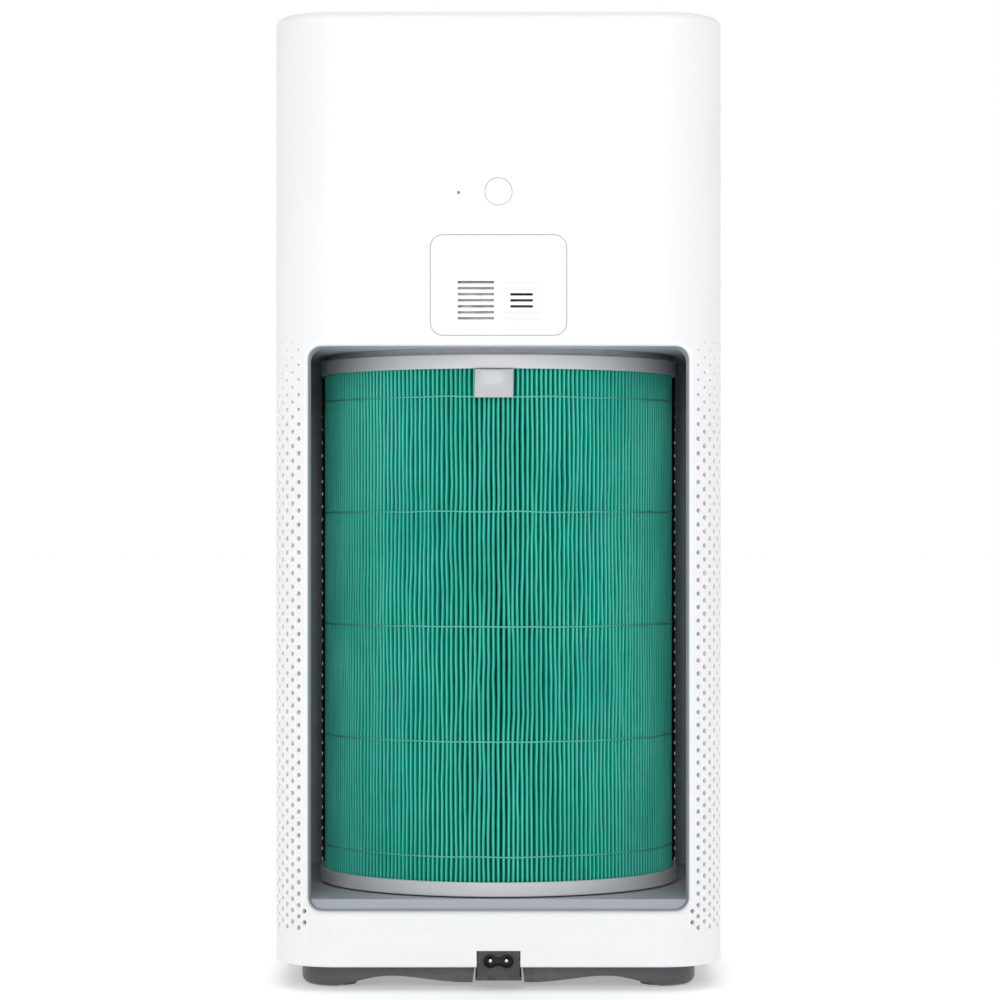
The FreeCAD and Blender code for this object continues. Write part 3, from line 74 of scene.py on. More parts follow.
# ---- intake holes
HOLE_R = 1.3 * MM
HOLE_SIDES = 12
HOLE_ROWS = 45
FADED_ROWS = 6
FADED_R = 0.5 * MM
FIRST_ROW = 33.0 * MM
ROW_PITCH = 5.96 * MM
ROW_GROWTH = 0.048 * MM
FIRST_COLUMN = FLAT_X + CORNER_R * math.radians(37.0)
COLUMNS = 75
COLUMN_PITCH = (HALF_ROUND - FIRST_COLUMN) / COLUMNS
SHORT_COLUMN = FLAT_X + CORNER_R * math.radians(30.5)
SHORT_COLUMN_HOLES = 2
DIMPLE_R = 1.15 * MM
DIMPLE_DEPTH = 0.22 * MM
DIMPLE_PITCH = 4.55 * MM
DIMPLE_COLUMNS = 22
DIMPLE_ROWS = (32.9 * MM, 35.7 * MM, 38.4 * MM)
DIMPLE_SLOPE = (0.6, 0.7)
REAR_COLUMNS = 7.5
FRONT_COLUMNS = 44.5
LINED_DIMPLES = range(19, DIMPLE_COLUMNS + 1)
LONE_LINE = FLAT_X + CORNER_R * math.radians(26.9)
LOW_LEVELS = 3
TOP_LEVELS = 6

# ---- openings in the housing
LINER_WALL = 2.2 * MM
BAY_CORNER_R = 7 * MM
BAY_BEAD_R = 2.4 * MM
COVER_GAP = 0.14 * MM
COVER_CORNER_R = 6.7 * MM
COVER_EDGE_R = 0.6 * MM
BAY_STEP = 4 * MM
BUTTON_R = 7.2 * MM
BUTTON_GAP = 0.12 * MM
DISPLAY_R = 32 * MM
LIGHT_R = 0.85 * MM
SMALL_BEAD_R = 0.4 * MM
LIGHT_BEAD_R = SMALL_BEAD_R / 4
KEY_SIDES = 64
LIGHT_SIDES = 16
WINDOW_SIDES = 128
INLET_WIDTH = 22.5 * MM
INLET_FIT = 0.4 * MM
INLET_BELOW = 5 * MM
BEAD_STEPS = 6
LINE_CLEAR = 0.9 * MM


# ---- mesh tools
def placed(name, data):
    """A new object in the scene."""
    made = bpy.data.objects.new(name, data)
    bpy.context.collection.objects.link(made)
    return made


def solid(name, points, faces, angle=35.0, inner=()):
    """A closed mesh piece, sharp above an angle; the inner faces named take its second finish."""
    mesh = bpy.data.meshes.new(name)
    shape = bmesh.new()
    corners = [shape.verts.new(p) for p in points]
    for face in faces:
        if len(set(face)) == len(face):
            made = shape.faces.new([corners[k] for k in face])
            made.material_index = int(frozenset(face) in inner)
    bmesh.ops.remove_doubles(shape, verts=shape.verts, dist=2e-7)
    bmesh.ops.dissolve_degenerate(shape, edges=shape.edges, dist=1e-7)
    bmesh.ops.recalc_face_normals(shape, faces=shape.faces)
    shape.to_mesh(mesh)
    shape.free()
    mesh.shade_smooth()
    mesh.set_sharp_from_angle(angle=math.radians(angle))
    return placed(name, mesh)


def fit(piece, body, finish, *nodes):
    """Gives a piece its finish and sets it on its body, in place of the CAD nodes named."""
    piece.data.materials.append(finishes[finish])
    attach(piece, body)
    if nodes:
        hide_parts(*nodes)
    return piece


def eased(points, reach, steps=5):
    """A closed outline with each corner turned into a curve that starts that far from it."""
    places = [Vector(p) for p in points]
    made = []
    for k, here in enumerate(places):
        before = places[k - 1] - here
        after = places[(k + 1) % len(places)] - here
        start = here + before.normalized() * min(reach, before.length * 0.45)
        end = here + after.normalized() * min(reach, after.length * 0.45)
        for step in range(steps + 1):
            t = step / steps
            made.append(start * (1 - t) ** 2 + here * (2 * t * (1 - t)) + end * t ** 2)
    return made


def upright(radius, height, turn):
    """Place of a turned piece's point about the object's own upright axis."""
    return Vector((radius * math.cos(turn), radius * math.sin(turn), height))


def facing(x, z, side):
    """Places for a piece turned about a level axis through (x, z) that looks to the rear or the front."""
    def place(radius, height, turn):
        return Vector((x + radius * math.cos(turn), side * height, z + radius * math.sin(turn)))
    return place


def turned(loop, count=96, place=upright):
    """Points and faces of a closed outline of (radius, height) turned about an axis."""
    points = [place(max(r, 0.0), h, 2 * math.pi * k / count) for k in range(count) for r, h in loop]
    size = len(loop)
    faces = []
    for k in range(count):
        a, b = k * size, (k + 1) % count * size
        for j in range(size):
            n = (j + 1) % size
            faces.append((a + j, b + j, b + n, a + n))
    return points, faces


def together(parts):
    """Several (points, faces) pairs as one."""
    points, faces = [], []
    for more_points, more_faces in parts:
        start = len(points)
        points += more_points
        faces += [tuple(k + start for k in face) for face in more_faces]
    return points, faces


def band(first, second):
    """Faces between two closed rings of point numbers."""
    size = len(first)
    return [(first[k], first[(k + 1) % size], second[(k + 1) % size], second[k]) for k in range(size)]


def circle(x, z, radius, count):
    """A loop about (x, z) that can be asked for again grown by a little."""
    def loop(grow=0.0):
        turns = [2 * math.pi * (k + 0.5) / count for k in range(count)]
        return [(x + (radius + grow) * math.cos(t), z + (radius + grow) * math.sin(t)) for t in turns]
    return loop


def rounded_opening(half_width, low, high, radius, step=8 * MM, corner_steps=10):
    """A rounded rectangle about x = 0 that can be asked for again grown by a little."""
    def loop(grow=0.0):
        made = []
        centres = [(half_width - radius, high - radius, 0), (-half_width + radius, high - radius, 90),
                   (-half_width + radius, low + radius, 180), (half_width - radius, low + radius, 270)]
        for k, (cx, cz, start) in enumerate(centres):
            for j in range(corner_steps + 1):
                turn = math.radians(start + 90.0 * j / corner_steps)
                made.append((cx + (radius + grow) * math.cos(turn), cz + (radius + grow) * math.sin(turn)))
            nx, nz, _ = centres[(k + 1) % 4]
            turn = math.radians(start + 90.0)
            shift = ((radius + grow) * math.cos(turn), (radius + grow) * math.sin(turn))
            count = max(1, round(math.hypot(nx - cx, nz - cz) / step))
            for j in range(1, count):
                share = j / count
                made.append((cx + (nx - cx) * share + shift[0], cz + (nz - cz) * share + shift[1]))
        return made
    return loop


def bead(shape, radius):
    """The loops of an opening's rounded edge and their depths, from the face down into the wall."""
    for k in range(BEAD_STEPS + 1):
        turn = math.pi / 2 * k / BEAD_STEPS
        yield shape(radius * (1 - math.sin(turn))), radius * (1 - math.cos(turn))


def cut_sheet(outline, loops, lines=()):
    """An outline with loops cut out of it: its points, its triangles and each loop's point numbers."""
    places, edges, faces = [], [], []

    def add(loop):
        start = len(places)
        places.extend(Vector((p[0] / MM, p[1] / MM)) for p in loop)
        return list(range(start, len(places)))

    for loop in [outline] + list(loops):
        faces.append(add(loop))
    for line in lines:
        edges.append(tuple(add(line)))
    points, _, triangles, from_points, _, from_faces = delaunay_2d_cdt(places, edges, faces, 0, 1e-4, True)
    number = {}
    for k, came in enumerate(from_points):
        for source in came:
            number[source] = k
    kept = [tuple(t) for t, came in zip(triangles, from_faces) if list(came) == [0]]
    numbers = [[number[k] for k in face] for face in faces[1:]]
    return [(p.x * MM, p.y * MM) for p in points], kept, numbers


def open_edges(triangles):
    """The directed edges that only one triangle has."""
    seen = {(t[k], t[(k + 1) % 3]) for t in triangles for k in range(3)}
    return [(a, b) for a, b in seen if (b, a) not in seen]


# ---- the housing's surface: along it, u is measured from the middle of the rear; up it, v
def outline_point(u, inset):
    u = (u + HALF_ROUND) % ROUND - HALF_ROUND
    side = math.copysign(1.0, u)
    u = abs(u)
    reach = CORNER_R - inset
    if u <= FLAT_X:
        x, y = u, REAR - inset
    elif u <= FLAT_X + CORNER_ARC:
        turn = (u - FLAT_X) / CORNER_R
        x, y = FLAT_X + reach * math.sin(turn), FLAT_Y + reach * math.cos(turn)
    elif u <= FLAT_X + CORNER_ARC + 2 * FLAT_Y:
        x, y = SIDE - inset, FLAT_Y - (u - FLAT_X - CORNER_ARC)
    elif u <= FLAT_X + 2 * CORNER_ARC + 2 * FLAT_Y:
        turn = (u - FLAT_X - CORNER_ARC - 2 * FLAT_Y) / CORNER_R
        x, y = FLAT_X + reach * math.cos(turn), -FLAT_Y - reach * math.sin(turn)
    else:
        x, y = HALF_ROUND - u, -(REAR - inset)
    return side * x, y


def section_point(v, inside):
    """(inset, height) at v up the wall, on its outside or its inside."""
    if v < LOW_START:
        turn = (LOW_START - v) / LOW_EDGE_R
        inset, height = LOW_EDGE_R * (1 - math.cos(turn)), LOW_START - LOW_EDGE_R * math.sin(turn)
        return (WALL, height) if inside else (inset, height)
    if v <= TOP_START:
        return (WALL if inside else 0.0), v
    reach = TOP_EDGE_R - WALL if inside else TOP_EDGE_R
    if v <= TOP_TURNED:
        turn = (v - TOP_START) / TOP_EDGE_R
        return TOP_EDGE_R - reach * math.cos(turn), TOP_START + reach * math.sin(turn)
    return TOP_EDGE_R + v - TOP_TURNED, TOP_START + reach


def shell_point(u, v, inside=False):
    inset, height = section_point(v, inside)
    x, y = outline_point(u, inset)
    return Vector((x, y, height))


def along(x):
    """Distance along the outline from the middle of a flat face to the place over x."""
    over = abs(x) - FLAT_X
    if over <= 0:
        return x
    return math.copysign(FLAT_X + CORNER_R * math.asin(over / CORNER_R), x)


def under_face(x, z, depth, side):
    """The point below (x, z) of the rear (side 1) or front (side -1) face, at a depth in the wall."""
    over = max(0.0, abs(x) - FLAT_X)
    return Vector((x, side * (FLAT_Y + math.sqrt((CORNER_R - depth) ** 2 - over ** 2)), z))


# ---- intake holes
def row_height(n):
    return FIRST_ROW + ROW_PITCH * n + ROW_GROWTH * n * (n - 1) / 2


def row_radius(n):
    fade = max(0.0, n - (HOLE_ROWS - 1 - FADED_ROWS)) / FADED_ROWS
    return HOLE_R - (HOLE_R - FADED_R) * min(1.0, fade)


def columns():
    """(place along the outline, half-step) of every column of holes."""
    for k in range(COLUMNS + 1):
        u = FIRST_COLUMN + COLUMN_PITCH * k
        yield u, 0.5 * (k % 2)
        if k < COLUMNS:
            yield ROUND - u, 0.5 * (k % 2)


def holes_between(start, end):
    loops = []
    for u, half_step in columns():
        for place in (u, u - ROUND):
            if start < place < end:
                for n in range(HOLE_ROWS):
                    row = n + half_step
                    loops.append(circle(place, row_height(row), row_radius(row), HOLE_SIDES)())
    for u in (SHORT_COLUMN, -SHORT_COLUMN):
        if start < u < end:
            for n in range(SHORT_COLUMN_HOLES):
                loops.append(circle(u, row_height(n + 0.5), HOLE_R, HOLE_SIDES)())
    return loops


def corner_lines(start, end):
    """Lines up the panel that keep its corners round: between the columns, and on them above the holes.
    Those over the filter bay stop short of its opening."""
    bay_low, bay_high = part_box("bay_frame")
    bay_edge = along(bay_high.x - LINER_WALL + BAY_BEAD_R) + LINE_CLEAR
    below = bay_low.z + LINER_WALL - BAY_BEAD_R - LINE_CLEAR
    above = bay_high.z - LINER_WALL + BAY_BEAD_R + LINE_CLEAR
    places = []
    for k in range(-1, COLUMNS + 1):
        middle = FIRST_COLUMN + COLUMN_PITCH * (k + 0.5)
        places += [(middle, SECTION_LOW), (middle - COLUMN_PITCH / 2, row_height(HOLE_ROWS + 1))]
    for k in LINED_DIMPLES:
        middle = DIMPLE_PITCH * (k - 0.5)
        places += [(middle, SECTION_LOW), (middle + DIMPLE_PITCH / 2, row_height(HOLE_ROWS + 1))]
    places += [(LONE_LINE, SECTION_LOW)]
    made = []
    corner_low, corner_high = FLAT_X - COLUMN_PITCH, FLAT_X + CORNER_ARC + COLUMN_PITCH
    for u, low in places:
        in_corner = corner_low < u < corner_high or corner_low < HALF_ROUND - u < corner_high
        for place in (u, -u, ROUND - u):
            if not in_corner or not start < place < end:
                continue
            if abs(place) > bay_edge:
                made.append(((place, low), (place, SECTION_HIGH)))
                continue
            made.append(((place, max(low, above)), (place, SECTION_HIGH)))
            if low < below:
                made.append(((place, low), (place, below)))
    return made


def level_lines(start, end):
    """Lines along the panel that keep its top and bottom edges round."""
    levels = [SECTION_LOW + (LOW_START - SECTION_LOW) * k / LOW_LEVELS for k in range(1, LOW_LEVELS + 1)]
    levels += [TOP_START + (TOP_TURNED - TOP_START) * k / TOP_LEVELS for k in range(TOP_LEVELS + 1)]
    return [((start, v), (end, v)) for v in levels]


def housing_panel(name, start, end, openings=(), cuts=(), dimples=()):
    """One panel of the moulded shell, with its wall, its holes and the rounded edges of its openings."""
    outline = [(start, SECTION_LOW), (end, SECTION_LOW), (end, SECTION_HIGH), (start, SECTION_HIGH)]
    edges = []
    loops = []
    for shape, radius, side in openings:
        rings = [(loop if side > 0 else loop[::-1], depth) for loop, depth in bead(shape, radius)]
        edges.append((rings, side))
        loops.append([(along(x) if side > 0 else HALF_ROUND - x, z) for x, z in rings[0][0]])
    first_dimple = len(loops)
    loops += dimples
    first_other = len(loops)
    loops += list(cuts) + holes_between(start, end)
    flat, triangles, numbers = cut_sheet(outline, loops, corner_lines(start, end) + level_lines(start, end))
    points = [shell_point(u, v) for u, v in flat]
    inner = len(points)
    points += [shell_point(u, v, inside=True) for u, v in flat]
    faces = list(triangles) + [(c + inner, b + inner, a + inner) for a, b, c in triangles]
    beaded = set()
    for (rings, side), ring in zip(edges, numbers[:first_dimple]):
        size = len(ring)
        last = ring
        for loop, depth in rings[1:]:
            begin = len(points)
            points += [under_face(x, z, depth, side) for x, z in loop]
            here = list(range(begin, begin + size))
            faces += band(last, here)
            last = here
        faces += band(last, [k + inner for k in ring])
        beaded |= {frozenset((ring[k], ring[(k + 1) % size])) for k in range(size)}
    for loop, ring in zip(dimples, numbers[first_dimple:first_other]):
        size = len(ring)
        u0 = sum(p[0] for p in loop) / size
        v0 = sum(p[1] for p in loop) / size
        begin = len(points)
        reach, share = DIMPLE_SLOPE
        points += [sunk(u0 + (u - u0) * reach, v0 + (v - v0) * reach, DIMPLE_DEPTH * share) for u, v in loop]
        points.append(sunk(u0, v0, DIMPLE_DEPTH))
        bottom = len(points) - 1
        for k in range(size):
            n = (k + 1) % size
            faces += [(ring[k], ring[n], begin + n, begin + k), (begin + k, begin + n, bottom)]
            faces.append((ring[n] + inner, ring[k] + inner, bottom + 1))
            beaded.add(frozenset((ring[k], ring[n])))
        points.append(shell_point(u0, v0, inside=True))
    for a, b in open_edges(triangles):
        if frozenset((a, b)) not in beaded:
            faces.append((b, a, a + inner, b + inner))
    # The inner faces take a dark slate finish: painted shade inside the white shell.
    behind = {frozenset(f) for f in faces[len(triangles):2 * len(triangles)]}
    piece = fit(solid(name, points, faces, inner=behind), "housing", "housing_white", "outer_housing")
    piece.data.materials.append(finishes["painted_shade_inside"])
    return piece


def sunk(u, v, depth):
    x, y = outline_point(u, depth)
    return Vector((x, y, v))


def dimple_loops():
    """Blind marks of the hole pattern in the band under the bay."""
    made = []
    for k in range(-DIMPLE_COLUMNS, DIMPLE_COLUMNS + 1):
        rows = (DIMPLE_ROWS[0], DIMPLE_ROWS[2]) if k % 2 == 0 else (DIMPLE_ROWS[1],)
        for z in rows:
            made.append(circle(DIMPLE_PITCH * k, z, DIMPLE_R, HOLE_SIDES)())
    return made


def middle_of(node):
    low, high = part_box(node)
    return (low + high) / 2


def bay_opening(grow=0.0):
    low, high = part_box("bay_frame")
    return rounded_opening(high.x - LINER_WALL, low.z + LINER_WALL, high.z - LINER_WALL, BAY_CORNER_R,
                           step=BAY_STEP)(grow)


def housing():
    cover_low, cover_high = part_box("sensor_cover")
    cover = rounded_opening(cover_high.x + COVER_GAP, cover_low.z - COVER_GAP, cover_high.z + COVER_GAP,
                            COVER_CORNER_R + COVER_GAP)
    rear_key = middle_of("rear_button")
    front_key = middle_of("power_button")
    light = middle_of("status_light_pipe")
    display = middle_of("display_window")
    inlet_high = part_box("inlet_socket")[1]
    half_notch = INLET_WIDTH / 2 + INLET_FIT
    notch = [(-half_notch, SECTION_LOW - INLET_BELOW), (half_notch, SECTION_LOW - INLET_BELOW),
             (half_notch, inlet_high.z + INLET_FIT), (-half_notch, inlet_high.z + INLET_FIT)]
    first_seam = FIRST_COLUMN + COLUMN_PITCH * REAR_COLUMNS
    second_seam = FIRST_COLUMN + COLUMN_PITCH * FRONT_COLUMNS
    housing_panel("housing_rear", -first_seam, first_seam,
                  [(bay_opening, BAY_BEAD_R, 1), (cover, SMALL_BEAD_R, 1),
                   (circle(rear_key.x, rear_key.z, BUTTON_R + BUTTON_GAP, KEY_SIDES), SMALL_BEAD_R, 1),
                   (circle(light.x, light.z, LIGHT_R, LIGHT_SIDES), LIGHT_BEAD_R, 1)],
                  [notch], dimple_loops())
    housing_panel("housing_side_a", first_seam, second_seam)
    housing_panel("housing_side_b", ROUND - second_seam, ROUND - first_seam)
    housing_panel("housing_front", second_seam, ROUND - second_seam,
                  [(circle(display.x, display.z, DISPLAY_R + BUTTON_GAP, WINDOW_SIDES), SMALL_BEAD_R, -1),
                   (circle(front_key.x, front_key.z, BUTTON_R + BUTTON_GAP, KEY_SIDES), SMALL_BEAD_R, -1)])


# ---- filter cartridge
PLEATS = 236
PAPER_LEVELS = 30
PAPER_SWAY = 0.17
SWAY_ROUND = 9.0
SWAY_UP = 22.0
SWAY_FINE = 2.7
SWAY_FINE_SHARE = 0.6
PAPER_HELD = 0.4
PAPER_PRESSED = 0.5 * MM
PRESS_SCALE = 1.9
PRESS_SHIFT = Vector((31.0, 7.0, 3.0))
PAPER_CLEAR = 0.6 * MM
TIP_ZONE = 2 * MM
GLUE_LINES = 5
GLUE_PROUD = 0.28 * MM
GLUE_HEIGHT = 1.0 * MM
GLUE_MARGIN = 0.6 * MM
GLUE_DIP = 0.35 * MM
GLUE_WANDER = 0.5 * MM
GLUE_SUNK = 0.25 * MM
GLUE_SIDES = 6
GLUE_STEPS = 4
RING_EDGE_R = 0.9 * MM
RING_SIDES = 256
RING_PLATE = 3.0 * MM
RING_FIT = 0.05 * MM
CORE_LAP = 4 * MM
CLOSED_END = (0.7 * MM, 0.1 * MM)
STRAP_THICK = 0.45 * MM
STRAP_GAP = 0.5 * MM
STRAP_BOW = 1.5 * MM
STRAP_OFF = 0.15 * MM
STRAP_FOLD = 1.0 * MM
STRAP_MARGIN = 0.2 * MM
STRAP_EDGE = 0.15 * MM
STRAP_LEAN = 0.012
BOW_SPAN = (0.12, 0.75)
BACK_BOW = 0.9


def pleat_outline(tip, root):
    """(share of the pitch, radius) across one pleat, from one fold's root to the next."""
    return [(-0.485, root), (-0.475, tip - 9 * MM), (-0.455, tip - 3.0 * MM), (-0.38, tip - 1.4 * MM),
            (-0.22, tip - 0.4 * MM), (0.0, tip), (0.22, tip - 0.4 * MM), (0.38, tip - 1.4 * MM),
            (0.455, tip - 3.0 * MM), (0.475, tip - 9 * MM), (0.485, root)]


def filter_paper():
    """The pleated paper: every fold runs its own slightly wandering way up the cartridge."""
    low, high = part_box("filter_media")
    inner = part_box("carbon_layer")[1].x
    outline = pleat_outline(high.x, inner + PAPER_CLEAR)
    size = len(outline)
    points, faces = [], []
    for level in range(PAPER_LEVELS + 1):
        share = level / PAPER_LEVELS
        z = low.z + (high.z - low.z) * share
        held = math.sin(math.pi * share) ** PAPER_HELD
        for pleat in range(PLEATS):
            turn = 2 * math.pi * pleat / PLEATS
            where = Vector((math.cos(turn) * SWAY_ROUND, math.sin(turn) * SWAY_ROUND, z * SWAY_UP))
            sway = noise.noise(where) + SWAY_FINE_SHARE * noise.noise(where * SWAY_FINE)
            sway *= PAPER_SWAY * 2 * held
            press = (0.5 + 0.5 * noise.noise(where * PRESS_SCALE + PRESS_SHIFT)) * PAPER_PRESSED * held
            for across, radius in outline:
                angle = (pleat + across + sway) * 2 * math.pi / PLEATS
                reach = radius - (press if radius > inner + TIP_ZONE else 0.0)
                points.append(Vector((reach * math.cos(angle), reach * math.sin(angle), z)))
    count = PLEATS * size
    for level in range(PAPER_LEVELS):
        below = range(level * count, (level + 1) * count)
        faces += band(below, [k + count for k in below])
    for level, z in ((0, low.z), (PAPER_LEVELS, high.z)):
        begin = len(points)
        points += [upright(inner, z, 2 * math.pi * k / PLEATS) for k in range(PLEATS)]
        for pleat in range(PLEATS):
            n = (pleat + 1) % PLEATS
            ring = [level * count + pleat * size + k for k in range(size)]
            faces.append(tuple(ring + [begin + pleat]))
            faces.append((ring[-1], level * count + n * size, begin + n, begin + pleat))
    bottom = range(len(points) - 2 * PLEATS, len(points) - PLEATS)
    faces += band(bottom, [k + PLEATS for k in bottom])
    fit(solid("filter_paper", points, faces, angle=70.0), "filter_cartridge", "media_green", "filter_media")


def glue_lines():
    """Threads of glue laid round the fold tips, which dip a little between them."""
    low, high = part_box("filter_glue_beads")
    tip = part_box("filter_media")[1].x
    parts = []
    for line in range(GLUE_LINES):
        z = low.z + GLUE_MARGIN + (high.z - low.z - 2 * GLUE_MARGIN) * line / (GLUE_LINES - 1)
        points, faces = [], []
        steps = PLEATS * GLUE_STEPS
        for k in range(steps):
            turn = 2 * math.pi * k / steps
            dip = (0.5 - 0.5 * math.cos(2 * math.pi * k / GLUE_STEPS)) * GLUE_DIP
            wander = noise.noise(Vector((math.cos(turn) * 5, math.sin(turn) * 5, line * 3.0))) * GLUE_WANDER
            for j in range(GLUE_SIDES):
                around = 2 * math.pi * j / GLUE_SIDES
                radius = tip - GLUE_SUNK - dip + GLUE_PROUD * math.cos(around)
                points.append(upright(radius, z + wander + GLUE_HEIGHT / 2 * math.sin(around), turn))
        for k in range(steps):
            a, b = k * GLUE_SIDES, (k + 1) % steps * GLUE_SIDES
            for j in range(GLUE_SIDES):
                n = (j + 1) % GLUE_SIDES
                faces.append((a + j, b + j, b + n, a + n))
        parts.append((points, faces))
    lines = solid("glue_lines", *together(parts), angle=80.0)
    fit(lines, "filter_cartridge", "glue_green", "filter_glue_beads")


def filter_rings():
    """The two moulded end rings of the cartridge."""
    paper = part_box("filter_media")[1].x + RING_FIT
    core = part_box("carbon_layer")[1].x - CORE_LAP
    step, gap = CLOSED_END
    end = core - gap
    for name, node, side in (("filter_ring_top", "filter_top_ring", 1),
                             ("filter_ring_bottom", "filter_bottom_ring", -1)):
        low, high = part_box(node)
        face, edge = (high.z, low.z) if side > 0 else (low.z, high.z)
        plate = face - side * RING_PLATE
        loop = [(core, face), (high.x, face), (high.x, edge), (paper, edge), (paper, plate), (core, plate)]
        parts = [turned(eased(loop, RING_EDGE_R), RING_SIDES)]
        if side < 0:
            parts.append(turned([(0.0, face + step), (end, face), (end, plate), (0.0, plate)]))
        fit(solid(name, *together(parts), angle=50.0), "filter_cartridge", "ring_grey", node)


def pull_strap():
    """The pull tab: one strap folded double, its fold hanging down and bowing outwards."""
    low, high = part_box("pull_tab")
    drop = high.z - low.z - STRAP_FOLD
    near = low.y + STRAP_OFF
    begin, span = BOW_SPAN
    front, back = [], []
    for k in range(15):
        share = k / 14
        lift = STRAP_BOW * (math.sin(math.pi * (begin + span * share)) - math.sin(math.pi * begin))
        z = high.z - drop * share
        front.append((near + STRAP_GAP + 1.5 * STRAP_THICK + lift, z))
        back.append((near + STRAP_THICK / 2 + lift * BACK_BOW, z))
    last_front, last_back = front[-1], back[-1]
    middle_y, half = (last_front[0] + last_back[0]) / 2, (last_front[0] - last_back[0]) / 2
    fold = [(middle_y + half * math.cos(t), last_front[1] - half * math.sin(t))
            for t in (math.pi * k / 8 for k in range(1, 8))]
    path = front + fold + back[::-1]
    sheet = bmesh.new()
    rows = []
    for y, z in path:
        shift = (high.z - z) * STRAP_LEAN
        rows.append([sheet.verts.new((x + shift, y, z))
                     for x in (low.x + STRAP_MARGIN, (low.x + high.x) / 2, high.x - STRAP_MARGIN)])
    for a, b in zip(rows, rows[1:]):
        for k in range(2):
            sheet.faces.new((a[k], a[k + 1], b[k + 1], b[k]))
    mesh = bpy.data.meshes.new("pull_strap")
    bmesh.ops.recalc_face_normals(sheet, faces=sheet.faces)
    sheet.to_mesh(mesh)
    sheet.free()
    mesh.shade_smooth()
    strap = placed("pull_strap", mesh)
    skin = strap.modifiers.new("thickness", "SOLIDIFY")
    skin.thickness = STRAP_THICK
    skin.offset = 0.0
    soft = strap.modifiers.new("edges", "BEVEL")
    soft.width = STRAP_EDGE
    soft.segments = 2
    fit(strap, "tab", "tab_grey", "pull_tab")


# ---- sensor cover, buttons, display
SLOT_ROWS = 7
SLOT_PITCH = 3.19 * MM
SLOT_HALF = 0.7 * MM
SLOT_TOP = 376.0 * MM
LEFT_SLOTS = (2.4 * MM, 21.6 * MM)
RIGHT_GROOVES = (-22.7 * MM, -2.5 * MM)
RIGHT_SLOTS = (-18.2 * MM, -6.3 * MM)
OPEN_ROWS = (2, 3, 4)
OPEN_SHARE = 0.9
GROOVE_DEPTH = 0.6 * MM
SLOT_CORNER = 0.35 * MM
LID_THICK = 2.4 * MM
LID_STEP = 12 * MM
LID_EDGE_STEPS = 4
SKIRT_INSETS = (3.0 * MM, 4.6 * MM)
SKIRT_STEP = 60 * MM
# (share of the radius, depth) across a button's dish; (in from the radius, depth) round the rims
BUTTON_DISH = ((0.0, 0.25 * MM), (0.45, 0.2 * MM), (0.75, 0.08 * MM))
BUTTON_RIM = ((0.55 * MM, 0.0), (0.25 * MM, 0.07 * MM), (0.07 * MM, 0.25 * MM), (0.0, 0.6 * MM))
WINDOW_RIM = ((0.7 * MM, 0.0), (0.3 * MM, 0.1 * MM), (0.1 * MM, 0.3 * MM), (0.0, 0.7 * MM))
FLANGE_GAP = 0.3 * MM
FLANGE_THICK = 1.4 * MM


def slot_loop(low_x, high_x, z, half):
    """A slot with eased corners, its points in order round it."""
    box = [(low_x, z - half), (high_x, z - half), (high_x, z + half), (low_x, z + half)]
    return [tuple(p) for p in eased(box, SLOT_CORNER, 3)]


def sensor_lid():
    """The slotted cover of the sensors: rounded front edge, open slots, blind grooves and a skirt behind."""
    low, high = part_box("sensor_cover")
    face, back = high.y, high.y - LID_THICK
    shape = rounded_opening(high.x, low.z, high.z, COVER_CORNER_R, step=LID_STEP)
    turns = [math.pi / 2 * k / LID_EDGE_STEPS for k in range(LID_EDGE_STEPS + 1)]
    rings = [(shape(-COVER_EDGE_R * (1 - math.sin(t))), COVER_EDGE_R * (1 - math.cos(t))) for t in turns]
    levels = [SLOT_TOP - SLOT_PITCH * k for k in range(SLOT_ROWS)]
    through = [slot_loop(*LEFT_SLOTS, z, SLOT_HALF) for z in levels]
    grooves = [slot_loop(*RIGHT_GROOVES, z, SLOT_HALF) for z in levels]
    opened = [slot_loop(*RIGHT_SLOTS, levels[k], SLOT_HALF * OPEN_SHARE) for k in OPEN_ROWS]
    points, faces = [], []

    def layer(outline, loops, y):
        flat, triangles, numbers = cut_sheet(outline, loops)
        begin = len(points)
        points.extend(Vector((x, y, z)) for x, z in flat)
        faces.extend(tuple(k + begin for k in t) for t in triangles)
        return flat, begin, [[k + begin for k in ring] for ring in numbers]

    def add_ring(loop, y):
        begin = len(points)
        points.extend(Vector((x, y, z)) for x, z in loop)
        return list(range(begin, begin + len(loop)))

    _, _, front = layer(rings[0][0], through + grooves, face)
    _, _, rear = layer(rings[-1][0], through + opened, back)
    for a, b in zip(front[:SLOT_ROWS], rear[:SLOT_ROWS]):
        faces.extend(band(a, b))
    for k, (groove, ring) in enumerate(zip(grooves, front[SLOT_ROWS:])):
        hole = [opened[OPEN_ROWS.index(k)]] if k in OPEN_ROWS else []
        _, _, floor = layer(groove, hole, face - GROOVE_DEPTH)
        faces.extend(band(ring, add_ring(groove, face - GROOVE_DEPTH)))
        if hole:
            faces.extend(band(floor[0], rear[SLOT_ROWS + OPEN_ROWS.index(k)]))
    last = add_ring(rings[0][0], face)
    for loop, depth in rings[1:]:
        here = add_ring(loop, face - depth)
        faces.extend(band(last, here))
        last = here
    faces.extend(band(last, add_ring(rings[-1][0], back)))
    outer, inner = [rounded_opening(high.x - inset, low.z + inset, high.z - inset, COVER_CORNER_R - inset,
                                    step=SKIRT_STEP)() for inset in SKIRT_INSETS]
    skirt = [add_ring(loop, y) for loop, y in ((outer, back), (outer, low.y), (inner, low.y), (inner, back))]
    for k, ring in enumerate(skirt):
        faces.extend(band(ring, skirt[(k + 1) % len(skirt)]))
    fit(solid("sensor_lid", points, faces), "sensor_lid", "cover_white", "sensor_cover")


